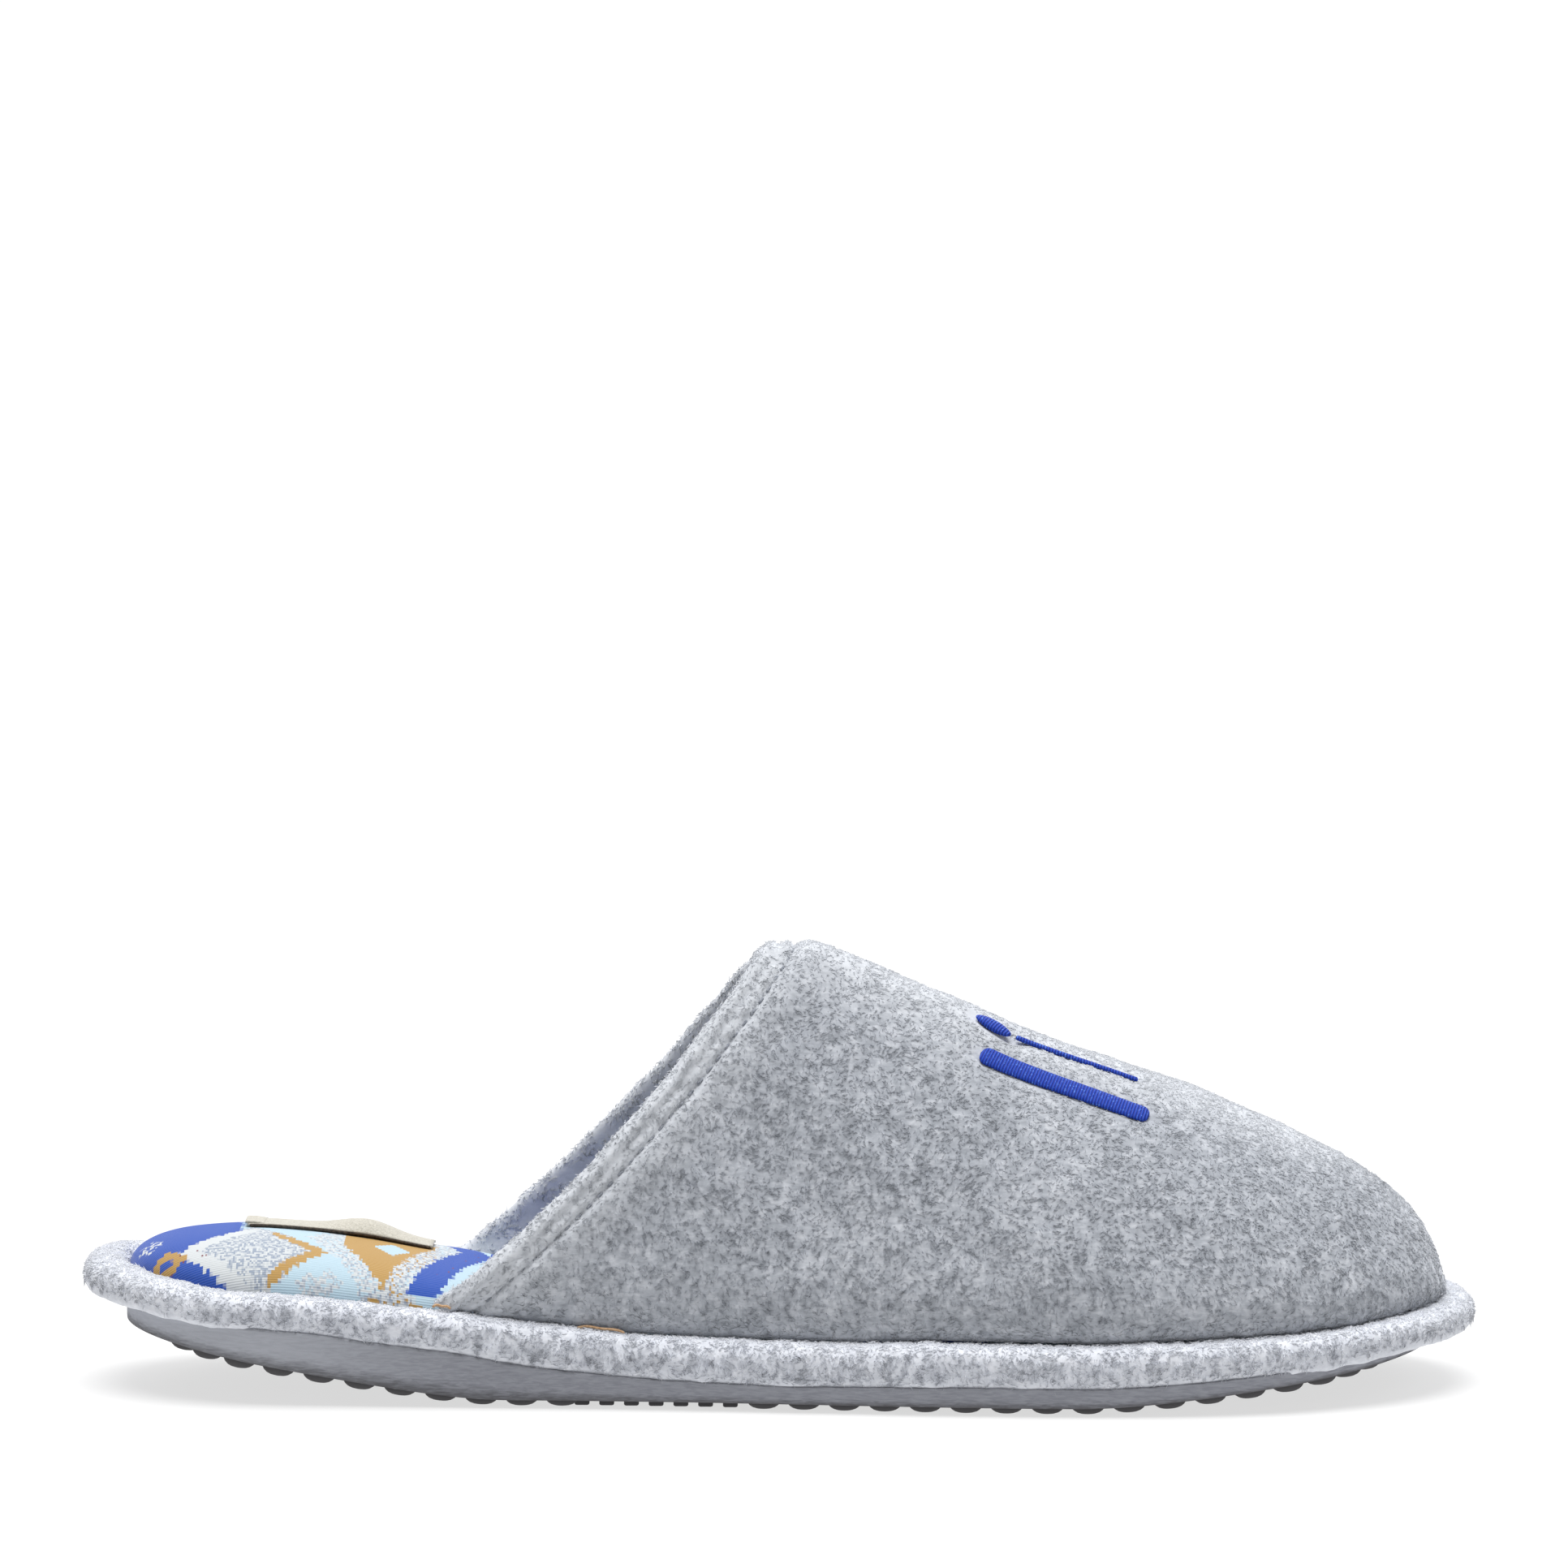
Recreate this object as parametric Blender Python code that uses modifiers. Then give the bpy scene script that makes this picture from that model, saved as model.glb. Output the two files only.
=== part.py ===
"""Scuff slipper for a right foot: plush vamp, plush edge binding, padded sock and studded sole.

Metres, +Z up. The toe points along +X and the outer side of the foot is at -Y. The origin is on the
floor, under the middle of the slipper's box.
"""

import math
from collections import namedtuple

import bmesh
import bpy
from mathutils import Matrix, Vector

# Driving sizes
LENGTH = 0.285
BALL_WIDTH = 0.104
INSTEP_HEIGHT = 0.0902
HEEL_SIDE = 0.0070
WALL = 0.0035
GAP = 0.0003

# Plan of the sole and how it rocks up at both ends
HEEL_ROUND = 0.044
TOE_ROUND = 0.072
HEEL_SHARPNESS = 2.2
TOE_SHARPNESS = 2.25
HEEL_ROCKER = 0.088
HEEL_LIFT = 0.0128
TOE_ROCKER = 0.083
TOE_SPRING = 0.0084
ROCKER_EASE = 0.20

# Outsole and its studs
SOLE_INSET = 0.0016
SOLE_EDGE = 0.0005
SOLE_TUCK = 0.0070
TUCK_REACH = 0.036
TUCK_EASE = 1.4
STUD_HEIGHT = 0.0016
STUD_GROWTH = 0.065
STUD_SINK = 0.0004
STUD_SIDES = 8
STUD_TIP = 0.62
EDGE_STUD_RADIUS = 0.0034
EDGE_STUD_PITCH = 0.0082
EDGE_STUD_MARGIN = 0.0012
EDGE_STUD_TUCK = 0.0122
INNER_STUD_RADIUS = 0.0044
INNER_STUD_PITCH = 0.0138
INNER_STUD_MARGIN = 0.0016
HEEL_TREAD_END = 0.355
FORE_TREAD_START = 0.475

# Edge binding, a padded oval roll
ROLL_WIDTH = 0.0088
ROLL_HEIGHT = 0.0094
ROLL_SQUARENESS = 2.6
ROLL_SIDES = 12

# Padded sock
SOCK_CROWN = 0.0090
SOCK_EDGE_DROP = 0.0022
SOCK_ROUND = 0.030
SOCK_FULLNESS = 2.6

# Upper: the feather line is where its outer face meets the binding
FEATHER_INSET = 0.0056
COLLAR_FOOT = 0.255
COLLAR_LEAN = 0.065
COLLAR_BOW = 0.0031
BOW_REACH = 0.45
TOE_CROWN = 0.0255
SIDE_BULGE = 0.0024
BULGE_RISE = 0.16
RIM_ROUND = 0.0014
HEM_WIDTH = 0.0080
HEM_PUFF = 0.0003
HEM_RIDGE = 0.0006
HEM_GROOVE = 0.0014
HEM_SHOULDER = 0.0004

# Label sewn on the heel of the sock
LABEL_LENGTH = 0.038
LABEL_WIDTH = 0.017
LABEL_THICKNESS = 0.0008
LABEL_STATION = 0.1835
LABEL_OFFSET = 0.0095

# How finely the solids are cut
PLAN_STATIONS = 36
FINE_STATIONS = 240
SOCK_COLUMNS = 14
MERIDIAN_STEPS = 12
VAMP_ROWS = 21
VAMP_EASE = 1.15
LABEL_STEPS = 6
SHORTEST_EDGE = 0.0002

SoleRow = namedtuple("SoleRow", "station width middle side")
SOLE_ROWS = (
    # station along the length; width and sideways shift as shares of the ball width; plate thickness
    # as a share of the heel's side
    SoleRow(0.00, 0.740, 0.010, 0.67),
    SoleRow(0.08, 0.745, 0.005, 0.73),
    SoleRow(0.18, 0.750, -0.002, 1.05),
    SoleRow(0.26, 0.752, -0.009, 1.12),
    SoleRow(0.34, 0.756, -0.018, 0.74),
    SoleRow(0.42, 0.775, -0.027, 0.48),
    SoleRow(0.52, 0.838, -0.031, 0.36),
    SoleRow(0.64, 0.940, -0.022, 0.42),
    SoleRow(0.74, 1.000, -0.006, 0.38),
    SoleRow(0.84, 1.010, 0.010, 0.27),
    SoleRow(0.90, 1.000, 0.019, 0.21),
    SoleRow(1.00, 0.970, 0.035, 0.18),
)

RollRow = namedtuple("RollRow", "station height")
ROLL_ROWS = (
    # height of the binding as a share of its height along the heel and the side
    RollRow(0.00, 0.76),
    RollRow(0.10, 0.78),
    RollRow(0.22, 0.87),
    RollRow(0.34, 1.00),
    RollRow(0.62, 1.00),
    RollRow(0.76, 0.95),
    RollRow(0.88, 0.78),
    RollRow(1.00, 0.68),
)

RidgeRow = namedtuple("RidgeRow", "station height")
RIDGE_ROWS = (
    # height of the upper's ridge over the floor, as a share of the instep's
    RidgeRow(0.470, 0.985),
    RidgeRow(0.500, 1.000),
    RidgeRow(0.535, 0.992),
    RidgeRow(0.580, 0.938),
    RidgeRow(0.630, 0.872),
    RidgeRow(0.675, 0.807),
    RidgeRow(0.745, 0.728),
    RidgeRow(0.815, 0.648),
    RidgeRow(0.865, 0.575),
    RidgeRow(0.893, 0.533),
)

UpperRow = namedtuple("UpperRow", "along lean fullness")
UPPER_ROWS = (
    # section of the upper: place of its foot from the hem to the toe tip, how far its top leans ahead
    # of its foot as a share of the collar's lean, and how full its arch is
    UpperRow(0.000, 1.000, 1.86),
    UpperRow(0.106, 0.860, 1.90),
    UpperRow(0.237, 0.695, 1.96),
    UpperRow(0.393, 0.515, 2.02),
    UpperRow(0.552, 0.350, 2.05),
    UpperRow(0.695, 0.200, 2.02),
    UpperRow(0.811, 0.035, 1.93),
    UpperRow(0.897, -0.133, 1.80),
    UpperRow(0.937, -0.205, 1.72),
    UpperRow(1.000, -0.330, 1.60),
)

SockRow = namedtuple("SockRow", "station crown")
SOCK_ROWS = (
    # crown of the sock over its edge, as a share of the crown at the heel
    SockRow(0.00, 1.00),
    SockRow(0.12, 1.00),
    SockRow(0.20, 0.94),
    SockRow(0.26, 0.78),
    SockRow(0.32, 0.66),
    SockRow(0.50, 0.42),
    SockRow(0.75, 0.30),
    SockRow(1.00, 0.26),
)

HemRow = namedtuple("HemRow", "across out inside")
HEM_ROWS = (
    # distance from the rim as a share of the hem's width, and outward push of the outer and inner face
    HemRow(0.00, -RIM_ROUND, 0.7 * RIM_ROUND),
    HemRow(0.07, -0.4 * RIM_ROUND, 0.3 * RIM_ROUND),
    HemRow(0.22, 0.0, 0.0),
    HemRow(0.50, HEM_PUFF, 0.0),
    HemRow(0.70, 0.0, 0.0),
    HemRow(0.84, HEM_RIDGE, 0.0),
    HemRow(0.93, 0.0, 0.0),
    HemRow(1.00, -HEM_GROOVE, 0.0),
    HemRow(1.09, 0.0, 0.0),
    HemRow(1.35, HEM_SHOULDER, 0.0),
)

Finish = namedtuple("Finish", "colour roughness")
FINISHES = {
    "upper": Finish((0.45, 0.46, 0.49), 0.95),
    "edge_binding": Finish((0.55, 0.55, 0.60), 0.95),
    "insole": Finish((0.62, 0.64, 0.72), 0.90),
    "insole_label": Finish((0.80, 0.76, 0.66), 0.85),
    "outsole": Finish((0.28, 0.28, 0.29), 0.75),
}


def follow(rows, at, column):
    """A smooth curve through one column of a table, that never overshoots its rows."""
    xs = [row[0] for row in rows]
    ys = [getattr(row, column) for row in rows]
    if at <= xs[0]:
        return ys[0]
    if at >= xs[-1]:
        return ys[-1]
    k = max(i for i in range(len(xs) - 1) if xs[i] <= at)
    slopes = [(b - a) / (d - c) for a, b, c, d in zip(ys, ys[1:], xs, xs[1:])]

    def tangent(i):
        if i == 0:
            return slopes[0]
        if i == len(xs) - 1:
            return slopes[-1]
        before, after = slopes[i - 1], slopes[i]
        if before * after <= 0:
            return 0.0
        return 2 * before * after / (before + after)

    width = xs[k + 1] - xs[k]
    t = (at - xs[k]) / width
    rise = ys[k + 1] - ys[k]
    pull = width * (tangent(k) * t * (1 - t) ** 2 - tangent(k + 1) * t * t * (1 - t))
    return ys[k] + rise * t * t * (3 - 2 * t) + pull


def station_of(x):
    """Share of the length, from the heel, at a place along X."""
    return x / LENGTH + 0.5


def rounding(away, reach, sharpness):
    """How much of the full width is left at a distance from a rounded end."""
    if away >= reach:
        return 1.0
    return max(0.0, 1 - (1 - max(0.0, away) / reach) ** sharpness) ** (1 / sharpness)


def edge_place(turn):
    """Place on the outer plan: turn 0 is the heel tip, 1 the toe tip, 2 the heel tip again."""
    station = 0.5 - 0.5 * math.cos(math.pi * turn)
    half = 0.5 * BALL_WIDTH * follow(SOLE_ROWS, station, "width")
    half *= rounding(station * LENGTH, HEEL_ROUND, HEEL_SHARPNESS)
    half *= rounding((1 - station) * LENGTH, TOE_ROUND, TOE_SHARPNESS)
    middle = BALL_WIDTH * follow(SOLE_ROWS, station, "middle")
    return Vector(((station - 0.5) * LENGTH, middle - half if turn <= 1 else middle + half))


def rocker(share):
    """Rise of a rocker from 0 at its start to 1 at the tip: eased in, then straight."""
    share = min(max(share, 0.0), 1.0)
    return (math.hypot(share, ROCKER_EASE) - ROCKER_EASE) / (math.hypot(1, ROCKER_EASE) - ROCKER_EASE)


def lift(x):
    """Height of the stud tips over the floor: none along the middle, and a rocker at both ends."""
    back = (HEEL_ROCKER - LENGTH / 2 - x) / HEEL_ROCKER
    front = (x - LENGTH / 2 + TOE_ROCKER) / TOE_ROCKER
    return HEEL_LIFT * rocker(back) + TOE_SPRING * rocker(front)


def base(x):
    """Height of the outsole's lower face, between the studs, which get deeper as the sole rises."""
    return STUD_HEIGHT + (1 + STUD_GROWTH) * lift(x)


def seat(x):
    """Height of the outsole's upper face, which carries the binding and the sock."""
    return base(x) + HEEL_SIDE * follow(SOLE_ROWS, station_of(x), "side")


def roll_share(x):
    """The binding's height as a share of its full height."""
    return follow(ROLL_ROWS, station_of(x), "height")


def roll_top(x):
    """Height of the binding's top."""
    return seat(x) + GAP + ROLL_HEIGHT * roll_share(x)


def feather(x):
    """Height of the upper's lower edge, just over the binding."""
    return roll_top(x) + GAP


def plan_middle(cache={}):
    """Y of the middle of the plan's box, which the plan is moved by so that the box is centred."""
    if not cache:
        ys = [edge_place(2 * i / FINE_STATIONS).y for i in range(FINE_STATIONS)]
        cache["y"] = (min(ys) + max(ys)) / 2
    return cache["y"]


def plan(inset, stations=PLAN_STATIONS, tuck=0.0):
    """Closed plan at an inset: heel tip, outer side, toe tip, then the inner side back to the heel.

    A tuck adds to the inset at both tips and fades out along the sides.
    """
    points = []
    for i in range(2 * stations):
        turn = i / stations
        step = 0.2 / stations
        along = (edge_place((turn + step) % 2) - edge_place((turn - step) % 2)).normalized()
        place = edge_place(turn)
        near_tip = 1 - (LENGTH / 2 - abs(place.x)) / TUCK_REACH
        depth = inset + tuck * max(0.0, near_tip) ** TUCK_EASE
        points.append(place + Vector((-depth * along.y, depth * along.x - plan_middle())))
    return points


def sides(x, inset, cache={}):
    """The outer and inner side of the plan at an inset, where X cuts it, each with its outward turn."""
    if inset not in cache:
        rings = [plan(inset, FINE_STATIONS), plan(inset - GAP, FINE_STATIONS)]
        cache[inset] = [
            [ring[: FINE_STATIONS + 1] for ring in rings],
            [[ring[0]] + ring[:FINE_STATIONS - 1:-1] for ring in rings],
        ]
    found = []
    for side, wider in cache[inset]:
        x_in = min(max(x, side[0].x), side[-1].x)
        k = max(i for i in range(FINE_STATIONS) if side[i].x <= x_in)
        reach = side[k + 1].x - side[k].x
        share = (x_in - side[k].x) / reach if reach > 0 else 0.0
        place = side[k].lerp(side[k + 1], share)
        found.append((place, (wider[k].lerp(wider[k + 1], share) - place).normalized()))
    return found


def across(x, inset):
    """Y of the outer and inner side of the plan at an inset."""
    return [place.y for place, _ in sides(x, inset)]


def finish_for(name):
    """The material of a piece, a Principled shader with the piece's own values."""
    material = bpy.data.materials.new(name)
    material.use_nodes = True
    shader = material.node_tree.nodes["Principled BSDF"]
    shader.inputs["Base Color"].default_value = (*FINISHES[name].colour, 1)
    shader.inputs["Roughness"].default_value = FINISHES[name].roughness
    shader.inputs["Metallic"].default_value = 0.0
    return material


def add_piece(name, mesh, collection):
    """A named piece from a mesh, smooth except at its real edges."""
    mesh.materials.clear()
    mesh.materials.append(finish_for(name))
    mesh.shade_smooth()
    mesh.set_sharp_from_angle(angle=math.radians(50))
    piece = bpy.data.objects.new(name, mesh)
    collection.objects.link(piece)
    return piece


def mesh_of(name, bm):
    """A mesh with its doubles merged and its faces pointing out."""
    bmesh.ops.remove_doubles(bm, verts=bm.verts, dist=1e-6)
    bmesh.ops.dissolve_degenerate(bm, edges=bm.edges, dist=1e-6)
    bmesh.ops.recalc_face_normals(bm, faces=bm.faces)
    mesh = bpy.data.meshes.new(name)
    bm.to_mesh(mesh)
    bm.free()
    return mesh


def add_rows(bm, rows):
    """Rows of points joined by quads, and the rows of their vertices."""
    made = [[bm.verts.new(point) for point in row] for row in rows]
    for low, high in zip(made, made[1:]):
        for a, b, c, d in zip(low, low[1:], high[1:], high):
            bm.faces.new((a, b, c, d))
    return made


def stack(name, levels, lid=None, tuck=0.0):
    """A solid from plan rings, bottom to top, with flat strips across below and a lid on top."""
    bm = bmesh.new()
    rings = []
    for inset, height in levels:
        ring = [bm.verts.new((p.x, p.y, height(p.x))) for p in plan(inset, tuck=tuck)]
        rings.append(ring)
    count = len(rings[0])
    for low, high in zip(rings, rings[1:]):
        for i in range(count):
            j = (i + 1) % count
            bm.faces.new((low[i], low[j], high[j], high[i]))
    half = count // 2
    for k, ring in enumerate((rings[0], rings[-1])):
        lines = [[ring[i], ring[-i]] for i in range(1, half)]
        if k and lid:
            lines = [
                [a, *[bm.verts.new(p) for p in lid(a.co, b.co)], b] for a, b in lines
            ]
        for before, after in zip(lines, lines[1:]):
            for a, b, c, d in zip(before, before[1:], after[1:], after):
                bm.faces.new((a, b, c, d))
        for tip, line in ((ring[0], lines[0]), (ring[half], lines[-1])):
            for a, b in zip(line, line[1:]):
                bm.faces.new((tip, a, b))
    return mesh_of(name, bm)


def has_tread(x):
    """Whether the sole has studs here: under the heel and under the forefoot, not at the waist."""
    return station_of(x) < HEEL_TREAD_END or station_of(x) > FORE_TREAD_START


def edge_line():
    """The closed line that the studs along the sole's edge stand on."""
    inset = SOLE_INSET + SOLE_EDGE + EDGE_STUD_RADIUS + EDGE_STUD_MARGIN
    return plan(inset, FINE_STATIONS, EDGE_STUD_TUCK)


def edge_studs():
    """Places of the row of studs that follows the sole's edge at an even pitch."""
    ring = edge_line()
    ring.append(ring[0])
    total = sum((b - a).length for a, b in zip(ring, ring[1:]))
    pitch = total / round(total / EDGE_STUD_PITCH)
    walked, due, places = 0.0, pitch / 2, []
    for a, b in zip(ring, ring[1:]):
        span = (b - a).length
        while due <= walked + span:
            spot = a + (b - a) * ((due - walked) / span)
            due += pitch
            if has_tread(spot.x):
                places.append((spot.x, spot.y, EDGE_STUD_RADIUS))
        walked += span
    return places


def inner_studs():
    """Places of the larger studs inside the edge row, in staggered lines."""
    keep_off = EDGE_STUD_RADIUS + INNER_STUD_MARGIN + INNER_STUD_RADIUS
    line_inset = SOLE_INSET + SOLE_EDGE + EDGE_STUD_RADIUS + EDGE_STUD_MARGIN
    line = edge_line()
    line_pitch = INNER_STUD_PITCH * math.sin(math.radians(60))
    last_line = int(LENGTH / 2 / line_pitch)
    last_row = int(BALL_WIDTH / 2 / INNER_STUD_PITCH)
    places = []
    for i in range(-last_line, last_line + 1):
        for j in range(-last_row, last_row + 1):
            x = i * line_pitch
            y = (j + 0.5 * (i % 2)) * INNER_STUD_PITCH
            outer, inner = across(x, line_inset + keep_off)
            if outer < y < inner and has_tread(x):
                if min((Vector((x, y)) - place).length for place in line) > keep_off:
                    places.append((x, y, INNER_STUD_RADIUS))
    return places


def add_studs(cutters):
    """All studs as one mesh of separate cones with flat tips, sunk a little into the sole."""
    bm = bmesh.new()
    for x, y, radius in edge_studs() + inner_studs():
        slope = (lift(x + radius) - lift(x - radius)) / (2 * radius)
        tilt = Matrix.Rotation(-math.atan(slope), 4, "Y")
        depth = base(x) - lift(x) + STUD_SINK
        bmesh.ops.create_cone(
            bm,
            cap_ends=True,
            segments=STUD_SIDES,
            radius1=STUD_TIP * radius,
            radius2=radius,
            depth=depth,
            matrix=Matrix.Translation((x, y, lift(x))) @ tilt @ Matrix.Translation((0, 0, depth / 2)),
        )
    mesh = mesh_of("studs", bm)
    studs = bpy.data.objects.new("studs", mesh)
    cutters.objects.link(studs)
    studs.hide_render = True
    studs.display_type = "WIRE"
    return studs


def add_outsole(parts, cutters):
    """Sole plate with a thicker heel and rocked ends, joined with its studs."""
    levels = (
        (SOLE_INSET + SOLE_EDGE, base),
        (SOLE_INSET, lambda x: base(x) + SOLE_EDGE),
        (SOLE_INSET, seat),
    )
    outsole = add_piece("outsole", stack("outsole", levels, tuck=SOLE_TUCK), parts)
    union = outsole.modifiers.new("studs", "BOOLEAN")
    union.operation = "UNION"
    union.object = add_studs(cutters)
    union.solver = "EXACT"
    return outsole


def add_binding(parts, cutters):
    """Padded roll round the whole edge: an oval drawn along the plan, flatter towards the toe."""
    oval = bpy.data.curves.new("roll_section", "CURVE")
    oval.dimensions = "2D"
    ring = oval.splines.new("POLY")
    ring.points.add(ROLL_SIDES - 1)
    ring.use_cyclic_u = True
    for i, point in enumerate(ring.points):
        angle = 2 * math.pi * (i + 0.5) / ROLL_SIDES
        u, v = math.cos(angle), math.sin(angle)
        reach = (abs(u) ** ROLL_SQUARENESS + abs(v) ** ROLL_SQUARENESS) ** (-1 / ROLL_SQUARENESS)
        point.co = (reach * u * ROLL_WIDTH / 2, reach * v * ROLL_HEIGHT / 2, 0, 1)
    section = bpy.data.objects.new("roll_section", oval)
    cutters.objects.link(section)
    section.hide_render = True
    section.display_type = "WIRE"

    path = bpy.data.curves.new("roll_path", "CURVE")
    path.dimensions = "3D"
    path.twist_mode = "Z_UP"
    path.bevel_mode = "OBJECT"
    path.bevel_object = section
    line = path.splines.new("POLY")
    middle = plan(ROLL_WIDTH / 2)
    line.points.add(len(middle) - 1)
    line.use_cyclic_u = True
    for point, place in zip(line.points, middle):
        point.co = (place.x, place.y, seat(place.x) + GAP + ROLL_HEIGHT / 2, 1)
    guide = bpy.data.objects.new("roll_path", path)
    cutters.objects.link(guide)
    bpy.context.view_layer.update()

    drawn = guide.evaluated_get(bpy.context.evaluated_depsgraph_get())
    bm = bmesh.new()
    bm.from_mesh(bpy.data.meshes.new_from_object(drawn))
    bpy.data.objects.remove(guide)
    for vert in bm.verts:
        foot = seat(vert.co.x) + GAP
        vert.co.z = foot + (vert.co.z - foot) * roll_share(vert.co.x)
    return add_piece("edge_binding", mesh_of("edge_binding", bm), parts)


def sock_inset():
    """Inset of the sock's side, just inside the binding."""
    return ROLL_WIDTH + GAP


def sock_top(x, y):
    """Height of the sock's upper face: highest along the middle of the heel, level with its edge."""
    outer, inner = across(x, sock_inset())
    half = max(1e-6, (inner - outer) / 2)
    off = min(1.0, abs(y - (inner + outer) / 2) / half)
    heel = rounding(x + LENGTH / 2 - sock_inset(), SOCK_ROUND, 2)
    toe = rounding(LENGTH / 2 - sock_inset() - x, SOCK_ROUND, 2)
    crown = SOCK_CROWN * follow(SOCK_ROWS, station_of(x), "crown") * heel * toe
    dome = (1 - off ** SOCK_FULLNESS) ** (1 / SOCK_FULLNESS)
    return roll_top(x) - SOCK_EDGE_DROP + (crown + SOCK_EDGE_DROP * heel * toe) * dome


def add_insole(parts):
    """Thick padded sock that fills the binding and swells up over it at the heel."""
    def lid(a, b):
        shares = [0.5 - 0.5 * math.cos(math.pi * k / SOCK_COLUMNS) for k in range(1, SOCK_COLUMNS)]
        flat = [a.lerp(b, share) for share in shares]
        return [(p.x, p.y, sock_top(p.x, p.y)) for p in flat]

    levels = (
        (sock_inset(), lambda x: seat(x) + GAP),
        (sock_inset(), lambda x: roll_top(x) - SOCK_EDGE_DROP),
    )
    return add_piece("insole", stack("insole", levels, lid), parts)


def add_label(parts):
    """Small cloth label that follows the crown of the sock."""
    centre_x = (LABEL_STATION - 0.5) * LENGTH
    outer, inner = across(centre_x, sock_inset())
    centre_y = (outer + inner) / 2 + LABEL_OFFSET

    def around(rows):
        right = [row[-1] for row in rows[1:]]
        left = [row[0] for row in rows[-2::-1]]
        return rows[0] + right + rows[-1][-2::-1] + left

    def sheet(over):
        rows = []
        for i in range(LABEL_STEPS + 1):
            x = centre_x + LABEL_LENGTH * (i / LABEL_STEPS - 0.5)
            ys = [centre_y + LABEL_WIDTH * (j / LABEL_STEPS - 0.5) for j in range(LABEL_STEPS + 1)]
            rows.append([(x, y, sock_top(x, y) + over) for y in ys])
        return rows

    bm = bmesh.new()
    low = around(add_rows(bm, sheet(GAP)))
    high = around(add_rows(bm, sheet(GAP + LABEL_THICKNESS)))
    for p, q, r, s in zip(low, low[1:], high[1:], high):
        bm.faces.new((p, q, r, s))
    return add_piece("insole_label", mesh_of("insole_label", bm), parts)


def ridge_height(x):
    """Height of the upper's ridge over the floor."""
    return INSTEP_HEIGHT * follow(RIDGE_ROWS, station_of(x), "height")


def upper_ends():
    """X of the foot of the rim, of the hem's seam and of the toe tip."""
    rim = (COLLAR_FOOT - 0.5) * LENGTH
    return rim, rim + HEM_WIDTH, LENGTH / 2 - FEATHER_INSET


def section(foot_x):
    """One section of the upper's plain outer face, from its outer foot over the ridge to its inner foot."""
    _, seam, tip = upper_ends()
    along = max(0.0, (foot_x - seam) / (tip - seam))
    lean = COLLAR_LEAN * follow(UPPER_ROWS, along, "lean")
    ridge_x = min(foot_x + lean, tip - TOE_CROWN)
    power = 2 / follow(UPPER_ROWS, along, "fullness")
    bow = COLLAR_BOW * max(0.0, 1 - along / BOW_REACH) ** 2
    top, low = ridge_height(ridge_x), feather(foot_x)
    slope = (ridge_height(ridge_x + GAP) - ridge_height(ridge_x - GAP)) / (2 * GAP)
    ridge = Vector((ridge_x, sum(across(ridge_x, FEATHER_INSET)) / 2))
    up_section = Vector((ridge_x - foot_x, top - low)).normalized()

    leans_ahead = ridge_x > foot_x
    shear = 0.0 if leans_ahead else slope * (foot_x - ridge_x)

    def point(foot, outward, climb):
        away = 0.0 if climb == 1 else math.cos(climb * math.pi / 2) ** power
        rise = math.sin(climb * math.pi / 2) ** power
        ahead = rise if leans_ahead else 1 - away
        swell = SIDE_BULGE * abs(outward.y) * rise / BULGE_RISE * math.exp(1 - rise / BULGE_RISE)
        bowed = bow * 4 * rise * (1 - rise)
        x = foot.x + (ridge.x - foot.x) * ahead + swell * outward.x + bowed * up_section.y
        y = ridge.y + (foot.y - ridge.y) * away + swell * outward.y
        z = low + (top - low) * rise + shear * away * (1 - away) ** 2 - bowed * up_section.x
        return Vector((x, y, z))

    outer, inner = sides(foot_x, FEATHER_INSET)
    climbs = [k / MERIDIAN_STEPS for k in range(MERIDIAN_STEPS + 1)]
    up = [point(*outer, climb) for climb in climbs]
    down = [point(*inner, climb) for climb in climbs[-2::-1]]
    return up + down


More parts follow.
